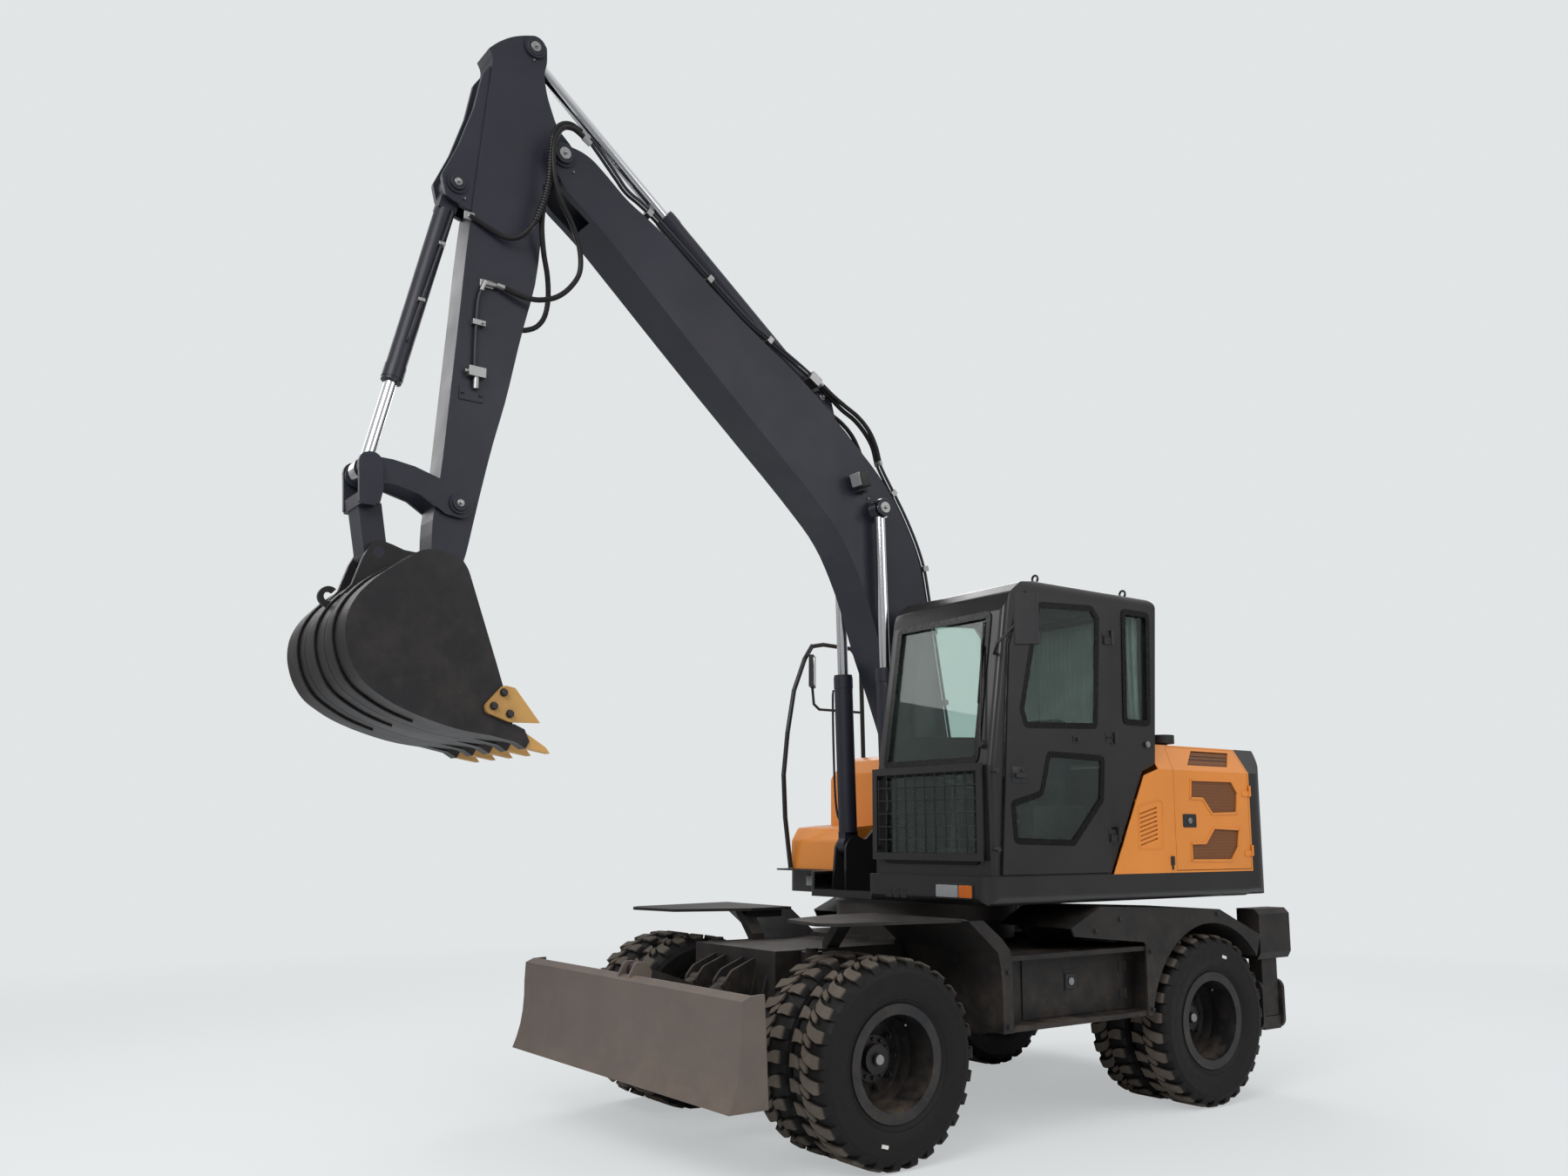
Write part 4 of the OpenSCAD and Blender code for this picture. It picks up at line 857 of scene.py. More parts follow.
@dataclass
class TwinWheel(Assembly):
    """One pair of tyres with its wheel nuts, hub cap and valve."""

    wheel: str = "front_left"
    centre_y: float = FRONT_Y
    side: int = 1
    radius: float = 525.0
    disc_x: float = 948.5
    pitch: float = 325.0
    pitches: int = 27
    groove: float = 25.0
    flare: float = 0.02
    nuts: int = 10
    nut_circle: float = 165.0
    hub_bolts: int = 12
    hub_circle: float = 98.0
    tag_circle: float = 398.0

    def around(self, x: float, circle: float, turn: float) -> Vector:
        """Finds a point on a circle round the axle.

        Args:
            x: Side position.
            circle: Radius of the circle.
            turn: Angle from straight up, in radians.

        Returns:
            The point, in millimetres.
        """
        return Vector((x, self.centre_y + math.sin(turn) * circle, AXLE_Z + math.cos(turn) * circle))

    def fit(self, mesh: BMesh, name: str, material: Material, **shading: float) -> Object:
        """Places a piece on this wheel.

        Args:
            mesh: The shape.
            name: The piece's name, without the wheel's.
            material: Its finish.
            shading: Bevel and sharp angle, as in place.

        Returns:
            The piece.
        """
        return self.place(mesh, f"{name}_{self.wheel}", f"wheel_{self.wheel}", material, **shading)

    def carcass(self, mesh: BMesh, x: float) -> None:
        """Spins the tyre's closed section round its axle.

        Args:
            mesh: The shape to add to.
            x: Side position of the tyre's middle.
        """
        outside = [(254.5, 98), (268, 106), (288, 101), (318, 116), (324, 123), (330, 121), (352, 132), (400, 138.5),
                   (440, 137), (446, 139), (454, 138.5), (460, 135), (478, 129), (490, 116), (499, 90), (502, 40)]
        inside = [(254.5, 72), (296, 76), (350, 106), (400, 114), (450, 112), (480, 98)]
        section = [*((radius, -across) for radius, across in outside), *reversed(outside),
                   *inside, *((radius, -across) for radius, across in reversed(inside))]
        verts = [mesh.verts.new((x + across, self.centre_y, AXLE_Z + radius)) for radius, across in section]
        edges = [mesh.edges.new((a, verts[(i + 1) % len(verts)])) for i, a in enumerate(verts)]
        bmesh.ops.spin(mesh, geom=verts + edges, cent=(x, self.centre_y, AXLE_Z), axis=(1, 0, 0),
                       angle=math.tau, steps=96, use_merge=True)

    def lug(self, mesh: BMesh, x: float, phase: float, rows: Sequence[Point]) -> None:
        """Raises one tread block on the tyre.

        Args:
            mesh: The shape to add to.
            x: Side position of the tyre's middle.
            phase: Where the block's pitch starts, in radians round the axle.
            rows: Sections across the block, each as across, start, end and outer radius.
        """
        made = bmesh.ops.create_grid(mesh, x_segments=len(rows) - 1, y_segments=1, size=1.0)["verts"]
        columns = sorted({round(v.co.x, 5) for v in made})
        for vert in made:
            across, start, end, radius = rows[columns.index(round(vert.co.x, 5))]
            turn = phase + (end if vert.co.y > 0 else start) / self.radius
            vert.co = self.around(x + across, radius, -turn)
        faces = list({f for v in made for f in v.link_faces})
        centre = Vector((0, self.centre_y, AXLE_Z))
        for vert in far_verts(bmesh.ops.extrude_face_region(mesh, geom=faces, use_keep_orig=True)["geom"]):
            spoke = (vert.co - centre) * Vector((0, 1, 1))
            vert.co -= spoke.normalized() * self.groove
            vert.co += (vert.co - Vector((x, vert.co.y, vert.co.z))) * self.flare

    def tyres(self) -> None:
        """Makes both tyres of the pair, which stand for the plain ones."""
        # each row of a tread block is across, start, end and outer radius
        outer = [(132, 12, 62, 478), (125, 10, 64, 500), (112, 8, 66, 519), (88, 6, 68, 525), (48, 0, 56, 525),
                 (10, -14, 40, 525), (-14, -34, 6, 525)]
        inner = [(-132, 22, 78, 478), (-125, 20, 80, 500), (-112, 18, 82, 519), (-88, 18, 80, 525), (-60, 26, 78, 525),
                 (-28, 44, 84, 525)]
        middle = [(-20, 30, 58, 525), (6, 46, 82, 525), (34, 66, 96, 525)]
        mesh = bmesh.new()
        for step in (-0.5, 0.5):
            x = self.side * (self.disc_x + step * self.pitch)
            self.carcass(mesh, x)
            lean = 1 if step * self.side > 0 else -1
            for i in range(self.pitches):
                phase = math.tau * i / self.pitches
                for rows in (outer, inner, middle):
                    self.lug(mesh, x, phase, sorted((a * lean, s, e, r) for a, s, e, r in rows))
        tyre = self.fit(mesh, "tread_tyres", self.finishes.tyre, sharp=28.0)
        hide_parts(f"tyres_{self.wheel}")

    def hardware(self) -> None:
        """Adds the nuts on their washers, the hub's cap and bolts, the valve and the tyre's tag."""
        look = self.finishes
        face = self.side * (self.disc_x + 14)
        out = Vector((self.side, 0, 0))
        mesh = bmesh.new()
        for i in range(self.nuts):
            at = self.around(face, self.nut_circle, math.tau * (i + 0.5) / self.nuts)
            add_rod(mesh, at, at + out * 6, 46, 20)
            add_rod(mesh, at + out * 6, at + out * 30, 36, 6)
            add_rod(mesh, at + out * 30, at + out * 46, 21, 14)
        self.fit(mesh, "wheel_nuts", look.dark_steel, edge=1.2)
        mesh = bmesh.new()
        for i in range(self.hub_bolts):
            turn = math.tau * i / self.hub_bolts
            add_bolt(mesh, self.around(self.side * (self.disc_x + 70), self.hub_circle, turn), out, 20)
        self.fit(mesh, "hub_bolts", look.dark_steel)
        mesh = bmesh.new()
        at = Vector((self.side * (self.disc_x + 128.3), self.centre_y, AXLE_Z))
        add_rod(mesh, at, at + out * 7, 60, 32, 52)
        self.fit(mesh, "hub_cap", look.zinc, edge=1.5)
        mesh = bmesh.new()
        at = Vector((self.side * (self.disc_x + 95), self.centre_y + 150, AXLE_Z + 183))
        stem = at + out * 70 + Vector((0, -12, -14))
        add_rod(mesh, at, stem, 9, 12)
        add_rod(mesh, stem, at + out * 84 + Vector((0, -14, -16)), 12, 12)
        self.fit(mesh, "valve", look.zinc)
        mesh = bmesh.new()
        turn = 2.86 if self.centre_y < 0 else -0.28
        at = self.around(self.side * (self.disc_x + self.pitch / 2 + 138.5), self.tag_circle, -turn)
        made = add_block(mesh, at - Vector((1.5, 22, 9)), at + Vector((1.5, 22, 9)))
        bmesh.ops.rotate(mesh, verts=made, cent=at, matrix=Matrix.Rotation(turn, 3, "X"))
        self.fit(mesh, "tyre_tags", look.tag)

    def build(self) -> None:
        """Builds the wheel."""
        self.tyres()
        self.hardware()


# ---------------------------------------------------------------- boom and arm


@dataclass
class BoomLines(Assembly):
    """Pin covers, steel tubes, hoses, clamps and the work lamp on the boom and the arm."""

    middle: float = -100.0
    boom_half: float = 150.0
    arm_half: float = 90.0
    tube: float = 20.0
    hose_d: float = 30.0
    tubes_x: tuple[float, ...] = (-170, -134, 4, 38)

    def pin_covers(self) -> None:
        """Bolts a round cover over each end of the main pins."""
        pins = (("boom", (-478, 3781), self.boom_half + 128, 96), ("boom", (-2754, 5528), self.boom_half + 24, 92),
                ("arm", (-2924, 6163), self.arm_half + 14, 80), ("arm", (-3258, 3395), self.arm_half + 40, 60),
                ("arm", (-3340, 5193), 100, 64), ("boom", (-842, 4510), 82, 66))
        for k, (body, (y, z), reach, d) in enumerate(pins):
            boss, cap = bmesh.new(), bmesh.new()
            for side in (-1, 1):
                at = Vector((self.middle + side * reach, y, z))
                out = Vector((side, 0, 0))
                add_rod(boss, at, at + out * 4, d + 26, 40, d + 20)
                add_rod(cap, at + out * 4, at + out * 9, d - 18, 32, d - 24)
                add_bolt(cap, at + out * 9, out, 22)
            self.place(boss, f"pin_boss_{k}", body, self.finishes.boom, edge=1.0)
            self.place(cap, f"pin_cover_{k}", body, self.finishes.zinc, edge=1.0)

    def greasers(self) -> None:
        """Sets small grease points beside the pins."""
        for body, spots in {"boom": ((-2690, 5440), (-520, 3860), (-60, 2100)),
                            "arm": ((-2930, 6080), (-3300, 5110))}.items():
            mesh = bmesh.new()
            reach = self.boom_half if body == "boom" else self.arm_half
            for y, z in spots:
                at = Vector((self.middle + reach, y, z))
                add_rod(mesh, at, at + Vector((8, 0, 0)), 12, 6)
                add_rod(mesh, at + Vector((8, 0, 0)), at + Vector((16, 0, 0)), 7, 10)
            self.place(mesh, f"grease_points_{body}", body, self.finishes.zinc)

    def back_tubes(self) -> None:
        """Runs four steel tubes along the boom's back and down to its foot, with their clamps."""
        back = [(-1075, 4668), (-1321, 4790), (-1523, 4904), (-2132, 5343), (-2320, 5447)]
        foot = [(-368, 4062), (-165, 3762), (-36, 3500), (22, 3244), (102, 2804), (190, 2314)]
        for k, x in enumerate(self.tubes_x):
            over = [(x, -960, 4608), *[(x, y, z) for y, z in back]]
            if x > 0:
                over += [(x + 14, -2400, 5508), (x + 34, -2500, 5588), (72, -2594, 5640 + x)]
            self.line(f"boom_tube_{k}", over, self.tube, self.finishes.tube, "boom")
            low = [(x, -400, 4120), *[(x, y, z) for y, z in foot], (x, 205, 2184)]
            self.line(f"boom_foot_tube_{k}", low, self.tube, self.finishes.tube, "boom")
        mesh = bmesh.new()
        for (y, z), lean in (((-1300, 4755), 34), ((-1750, 5040), 36), ((-2180, 5342), 30), ((-290, 3925), 46),
                             ((-16, 3444), 76), ((56, 3014), 80), ((146, 2544), 80)):
            turn = Matrix.Rotation(math.radians(-lean), 4, "X")
            add_block(mesh, (-196, y - 18, z - 10), (54, y + 18, z + 34), turn)
            out = turn @ Vector((0, 0, 1))
            for x in (-160, 20):
                add_bolt(mesh, Vector((x, y, z + 10)) + out * 16, out, 18)
        self.place(mesh, "tube_clamps", "boom", self.finishes.zinc, edge=1.5)

    def manifold(self) -> None:
        """Adds the block and elbows where the tubes meet hoses on the boom's back."""
        mesh = bmesh.new()
        add_block(mesh, (-194, -985, 4560), (52, -900, 4622), Matrix.Rotation(math.radians(-32), 4, "X"))
        for x in self.tubes_x:
            add_rod(mesh, (x, -930, 4592), (x, -880, 4562), 32, 6)
        self.place(mesh, "hose_block", "boom", self.finishes.zinc, edge=2.0)
        mesh = bmesh.new()
        for x in self.tubes_x:
            add_rod(mesh, (x, -396, 4112), (x, -408, 4140), 36, 6)
            if x < 0:
                add_rod(mesh, (x, -2318, 5446), (x, -2350, 5464), 32, 6)
        self.place(mesh, "tube_nuts", "boom", self.finishes.zinc)
        for k, x in enumerate(self.tubes_x):
            drop = 0 if k % 2 else 16
            route = [(x, -882, 4563), (x, -800, 4512), (x, -700, 4462 - drop), (x, -590, 4410 - drop),
                     (x, -500, 4336 - drop), (x, -440, 4240), (x, -408, 4140)]
            self.hose(f"boom_hose_{k}", route, self.hose_d, "boom")

    def joint_hoses(self) -> None:
        """Hangs the hoses that cross from the boom's tip to the arm."""
        routes = {
            "arm_hose_0": [(0, -3262, 5015), (6, -3200, 4988), (16, -3110, 4953), (34, -3051, 4938),
                           (60, -2987, 4964), (90, -2922, 5060), (100, -2882, 5190), (100, -2856, 5330),
                           (100, -2850, 5480), (98, -2842, 5590), (92, -2800, 5676), (80, -2728, 5714),
                           (72, -2651, 5696)],
            "arm_hose_1": [(20, -3062, 4648), (30, -2998, 4628), (48, -2921, 4612), (70, -2855, 4616),
                           (88, -2781, 4646), (98, -2709, 4716), (104, -2655, 4820), (108, -2660, 4950),
                           (112, -2709, 5080), (120, -2786, 5200), (126, -2834, 5330), (128, -2850, 5470),
                           (122, -2832, 5580), (112, -2786, 5654), (96, -2717, 5682), (76, -2640, 5664)],
            "arm_hose_2": [(-50, -2952, 4455), (-50, -2900, 4466), (-48, -2836, 4502), (-38, -2794, 4570),
                           (-18, -2786, 4670), (8, -2806, 4790), (36, -2846, 4910), (66, -2876, 5040),
                           (90, -2882, 5150), (98, -2872, 5240)],
        }
        crossing = [self.hose(name, route, self.hose_d, None) for name, route in routes.items()]
        mesh = bmesh.new()
        coil = catmull(routes["arm_hose_0"][5:10], 9)
        for a, b in zip(coil[::2], coil[1::2]):
            add_rod(mesh, a, b, self.hose_d + 8, 16)
        guard = self.place(mesh, "hose_guard", "boom", self.finishes.plastic)
        guard.parent = None
        guard.matrix_world = Matrix()
        for piece in (*crossing, guard):
            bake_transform(piece)

    def fittings(self) -> None:
        """Adds the steel elbows at the hoses' ends and the bracket on the boom's tip."""
        mesh = bmesh.new()
        add_rod(mesh, (-10, -3268, 5018), (2, -3262, 5015), 36, 6)
        add_block(mesh, (-12, -3300, 4995), (0, -3240, 5040))
        add_rod(mesh, (20, -3062, 4648), (20, -3105, 4652), 32, 6)
        add_rod(mesh, (12, -3105, 4652), (12, -3165, 4650), 26, 20)
        add_rod(mesh, (12, -3165, 4662), (12, -3190, 4600), 26, 20)
        add_block(mesh, (-12, -3196, 4630), (6, -3120, 4672))
        add_rod(mesh, (-50, -2975, 4450), (-50, -2930, 4460), 38, 6)
        self.place(mesh, "arm_fittings", "arm", self.finishes.zinc, edge=1.5)
        mesh = bmesh.new()
        add_rod(mesh, (72, -2655, 5697), (66, -2605, 5676), 38, 6)
        add_rod(mesh, (76, -2644, 5665), (70, -2594, 5640), 38, 6)
        self.place(mesh, "tip_bracket", "boom", self.finishes.zinc, edge=1.5)

    def arm_tubes(self) -> None:
        """Runs the tubes and valve block down the arm's side."""
        self.line("arm_tube", [(8, -3190, 4600), (8, -3203, 4540), (8, -3208, 4400), (8, -3208, 4250),
                               (8, -3206, 4150)], 20, self.finishes.tube, "arm")
        mesh = bmesh.new()
        add_block(mesh, (-10, -3232, 4400), (22, -3160, 4430))
        add_bolt(mesh, (22, -3176, 4415), (1, 0, 0), 18)
        add_block(mesh, (-10, -3245, 4105), (34, -3150, 4160))
        add_rod(mesh, (12, -3197, 4105), (12, -3197, 4040), 34, 20)
        add_rod(mesh, (12, -3240, 4132), (12, -3262, 4132), 22, 6)
        self.place(mesh, "arm_valve", "arm", self.finishes.zinc, edge=1.5)
        mesh = bmesh.new()
        add_block(mesh, (-10, -3280, 3975), (-3, -3148, 4048))
        for y in (-3265, -3163):
            add_bolt(mesh, (-3, y, 4012), (1, 0, 0), 16)
        self.place(mesh, "arm_plate", "arm", self.finishes.boom, edge=1.0)

    def cylinder_tubes(self) -> None:
        """Adds the feed tubes of the bucket cylinder and the boom cylinders, and the clamps of the first."""
        self.line("bucket_cylinder_tube", [(-62, -3345, 5060), (-34, -3352, 5030), (-30, -3368, 4960),
                                           (-30, -3460, 4620), (-30, -3545, 4300), (-40, -3560, 4240)], 16,
                  self.finishes.tube, "bucket_barrel")
        mesh = bmesh.new()
        for y, z in ((-3405, 4825), (-3500, 4480)):
            add_block(mesh, (-52, y - 18, z - 9), (-18, y + 18, z + 9))
        self.place(mesh, "bucket_cylinder_clamps", "bucket_barrel", self.finishes.zinc, edge=1.0)
        for side, name in reversed(SIDES):
            x = self.middle + side * 220
            outer = x + side * 62
            route = [(x + side * 54, -478, 2630), (outer, -480, 2600), (outer, -476, 2300), (outer, -462, 1950),
                     (outer, -440, 1800), (x + side * 54, -420, 1770)]
            self.line(f"boom_cylinder_tube_{name}", route, 16, self.finishes.tube, "boom_barrels")

    def work_lamp(self) -> None:
        """Hangs the work lamp on the boom's side."""
        mesh = bmesh.new()
        add_block(mesh, (50, -640, 3880), (58, -560, 4010))
        add_block(mesh, (56, -620, 3880), (130, -580, 3888))
        add_block(mesh, (122, -640, 3890), (130, -580, 3990))
        self.place(mesh, "lamp_bracket", "boom", self.finishes.boom, edge=1.0)
        tilt = Matrix.Rotation(math.radians(18), 4, "X")
        mesh = bmesh.new()
        add_block(mesh, (62, -672, 3898), (176, -590, 3998), tilt)
        soften(mesh, 14, 3)
        self.place(mesh, "lamp_housing", "boom", self.finishes.plastic)
        mesh = bmesh.new()
        add_block(mesh, (72, -678, 3905), (166, -664, 3990), tilt)
        self.place(mesh, "lamp_lens", "boom", self.finishes.lens, edge=3.0)

    def build(self) -> None:
        """Builds the boom's and the arm's fittings."""
        self.pin_covers()
        self.greasers()
        self.back_tubes()
        self.manifold()
        self.joint_hoses()
        self.fittings()
        self.arm_tubes()
        self.cylinder_tubes()
        self.work_lamp()


# ---------------------------------------------------------------- bucket


@dataclass
class BucketWear(Assembly):
    """Wear strips round the bucket's back and the bolts of its side cutters."""

    low_x: float = -600.0
    width: float = 1000.0
    strip: float = 70.0
    cutter: float = 24.3

    def strips(self) -> None:
        """Lays three strips round the back."""
        back = [(-3598, 3024), (-3684, 2954), (-3785, 2879), (-3870, 2785), (-3915, 2689), (-3921, 2585),
                (-3890, 2468), (-3826, 2370), (-3694, 2284), (-3561, 2230), (-3352, 2170)]
        line = catmull([(0, y, z) for y, z in back], 40)
        mesh = bmesh.new()
        for share in (0.2, 0.5, 0.8):
            x = self.low_x + share * self.width - self.strip / 2
            verts = [mesh.verts.new((x, p.y, p.z)) for p in line[3:-4]]
            edges = [mesh.edges.new(pair) for pair in zip(verts, verts[1:])]
            moved = far_verts(bmesh.ops.extrude_edge_only(mesh, edges=edges)["geom"])
            bmesh.ops.translate(mesh, verts=moved, vec=(self.strip, 0, 0))
        bmesh.ops.solidify(mesh, geom=list(mesh.faces), thickness=10)
        self.place(mesh, "wear_strips", "bucket", self.finishes.bucket, edge=1.5)

    def cutter_bolts(self) -> None:
        """Bolts the side cutters on."""
        mesh = bmesh.new()
        for side, x in ((1, self.low_x + self.width + self.cutter), (-1, self.low_x - self.cutter)):
            for y, z in ((-3146, 2366), (-3195, 2296), (-3110, 2262)):
                add_bolt(mesh, (x, y, z), (side, 0, 0), 34)
        self.place(mesh, "cutter_bolts", "bucket", self.finishes.dark_steel, edge=1.0, slot=Slot.CAST)

    def build(self) -> None:
        """Builds the bucket's wear parts."""
        self.strips()
        self.cutter_bolts()


# ---------------------------------------------------------------- cab


@dataclass
class CabTrim(Assembly):
    """Window seals, wiper, door handle, hinges, mirror glass and curtains."""

    wall: float = 1225.0
    door: float = 12.0
    front: float = -606.0
    sill_z: float = 2060.0
    rake: float = 136.0
    rake_height: float = 900.0

    def side_seals(self) -> None:
        """Lays the rubber seals round the door's and the side's windows."""
        windows = (
            ("upper_pane", "cab_door", [(-336, 2289), (273, 2314), (320, 2980), (260, 3047), (-210, 3017),
                                        (-370, 2395)]),
            ("lower_pane", "cab_door", [(-437, 1630), (42, 1622), (301, 1874), (326, 2140), (-160, 2142),
                                        (-218, 1920), (-456, 1863)]),
            ("quarter_pane", "upper", [(540, 2360), (790, 2360), (819, 3060), (560, 3060)]),
        )
        for name, body, corners in windows:
            mesh = bmesh.new()
            x = self.wall + (self.door if body == "cab_door" else 0)
            edge = round_outline(grow_outline(corners, 14), 46)
            add_loop(mesh, [(x, y, z) for y, z in edge], 36, (1, 0, 0), 6)
            self.place(mesh, f"seal_{name}", body, self.finishes.seal, edge=1.5)

    def raked(self, z: float, out: float = 0.0) -> float:
        """Returns the windshield's Y at a height, moved out by some millimetres."""
        return self.front + (z - self.sill_z) * self.rake / self.rake_height - out

    def front_seals(self) -> None:
        """Lays the seals of the windshield and of the low pane, and the strip between them."""
        mesh = bmesh.new()
        pane = round_outline([(296, 2071), (1129, 2071), (1129, 2964), (296, 2964)], 50)
        add_loop(mesh, [(x, self.raked(z, 0.2), z) for x, z in pane], 42, (0, -1, 0.15), 7)
        low = round_outline([(296, 1506), (1129, 1506), (1129, 2052), (296, 2052)], 50)
        add_loop(mesh, [(x, -603 + (1443 - z) * 0.0097 - 0.2, z) for x, z in low], 34, (0, -1, 0), 6)
        self.place(mesh, "seal_front", "upper", self.finishes.seal, edge=1.5)

    def wiper(self) -> None:
        """Adds the windshield's wiper with its motor cover."""
        mesh = bmesh.new()
        base = Vector((1150, self.raked(2180, 10), 2180))
        add_rod(mesh, base + Vector((0, 12, 0)), base - Vector((0, 18, 0)), 46, 24, 38)
        top = Vector((1090, self.raked(2760, 22), 2760))
        add_rod(mesh, base - Vector((0, 14, 0)), top, 11, 12)
        add_rod(mesh, Vector((1094, self.raked(2420, 14), 2420)), Vector((1082, self.raked(2900, 14), 2900)), 9, 8)
        add_rod(mesh, Vector((1094, self.raked(2420, 8), 2420)), Vector((1082, self.raked(2900, 8), 2900)), 5, 6)
        self.place(mesh, "wiper", "upper", self.finishes.plastic, edge=0.8)

    def door_hardware(self) -> None:
        """Adds the door's handle, hinges and hold-open catch, and the knobs on the front pillar."""
        mesh = bmesh.new()
        x = self.wall + self.door
        add_block(mesh, (x, -452, 1965), (x + 10, -352, 2058))
        soften(mesh, 4, 2)
        add_block(mesh, (x + 10, -442, 1995), (x + 30, -362, 2018))
        add_rod(mesh, (x + 10, -376, 2038), (x + 15, -376, 2038), 22, 20)
        self.place(mesh, "door_handle", "cab_door", self.finishes.plastic, edge=1.5)
        mesh = bmesh.new()
        for z in (1640, 2220, 2840):
            add_rod(mesh, (x + 14, 432, z), (x + 14, 432, z + 74), 24, 20)
            add_block(mesh, (x - 2, 350, z + 8), (x + 8, 428, z + 66))
            for y in (368, 398):
                add_bolt(mesh, (x + 8, y, z + 37), (1, 0, 0), 14)
        self.place(mesh, "door_hinges", "cab_door", self.finishes.body, edge=1.5)
        mesh = bmesh.new()
        add_block(mesh, (self.wall + 0.3, 60, 2215), (self.wall + 22, 120, 2252))
        add_rod(mesh, (self.wall + 22, 90, 2234), (self.wall + 40, 90, 2234), 26, 20, 20)
        self.place(mesh, "door_catch", "cab_door", self.finishes.plastic, edge=2.0)
        mesh = bmesh.new()
        for z in (1595, 2027):
            add_rod(mesh, (self.wall - 6, -596, z), (self.wall + 40, -604, z), 14, 14)
            add_rod(mesh, (self.wall + 40, -604, z), (self.wall + 58, -606, z), 34, 18, 28)
        self.place(mesh, "pillar_knobs", "upper", self.finishes.plastic, edge=1.5)

    def mirror_glass(self) -> None:
        """Sets the glass into both mirrors."""
        for name, (x, y), turn, low, high, width, thick in (
            ("left", (1430, -505), 45, 2725, 3015, 140, 45),
            ("right", (-1200, -45), -43, 2765, 3000, 170, 36),
        ):
            mesh = bmesh.new()
            half = width / 2 - 10
            corners = round_outline([(-half, low + 12), (half, low + 12), (half, high - 12), (-half, high - 12)], 16)
            flat = Matrix.Translation((x, y, 0)) @ Matrix.Rotation(math.radians(turn), 4, "Z")
            add_plate(mesh, [flat @ Vector((a, thick / 2 + 0.2, b)) for a, b in corners],
                      flat.to_3x3() @ Vector((0, 2, 0)))
            self.place(mesh, f"mirror_glass_{name}", "upper", self.finishes.chrome)

    def curtains(self) -> None:
        """Hangs the pleated sun curtains inside the far side's and the rear windows."""
        spans = {
            "curtain_side": (Vector((272, 420, 0)), Vector((272, 790, 0)), 2060, 3060, Vector((1, 0, 0)), 15),
            "curtain_rear": (Vector((300, 800, 0)), Vector((1150, 800, 0)), 2300, 3060, Vector((0, -1, 0)), 22),
        }
        for name, (start, end, low, high, out, pleats) in spans.items():
            mesh = bmesh.new()
            for vert in bmesh.ops.create_grid(mesh, x_segments=pleats * 6, y_segments=10, size=0.5)["verts"]:
                u, v = vert.co.x + 0.5, vert.co.y + 0.5
                depth = 14.0 * math.sin(u * pleats * math.tau) * (0.8 + 0.2 * math.sin(v * 3 + u * 5)) + 18
                sway = 3.0 * math.sin(v * 5 + u * 9)
                vert.co = start.lerp(end, u) + out * depth + (end - start).normalized() * sway
                vert.co.z = low + v * (high - low)
            cloth = self.place(mesh, name, "upper", self.finishes.cloth, sharp=80)
            thick = cloth.modifiers.new("cloth", "SOLIDIFY")
            thick.thickness, thick.offset = 0.0012, 0.0

    def build(self) -> None:
        """Builds the cab's trim."""
        self.side_seals()
        self.front_seals()
        self.wiper()
        self.door_hardware()
        self.mirror_glass()
        self.curtains()


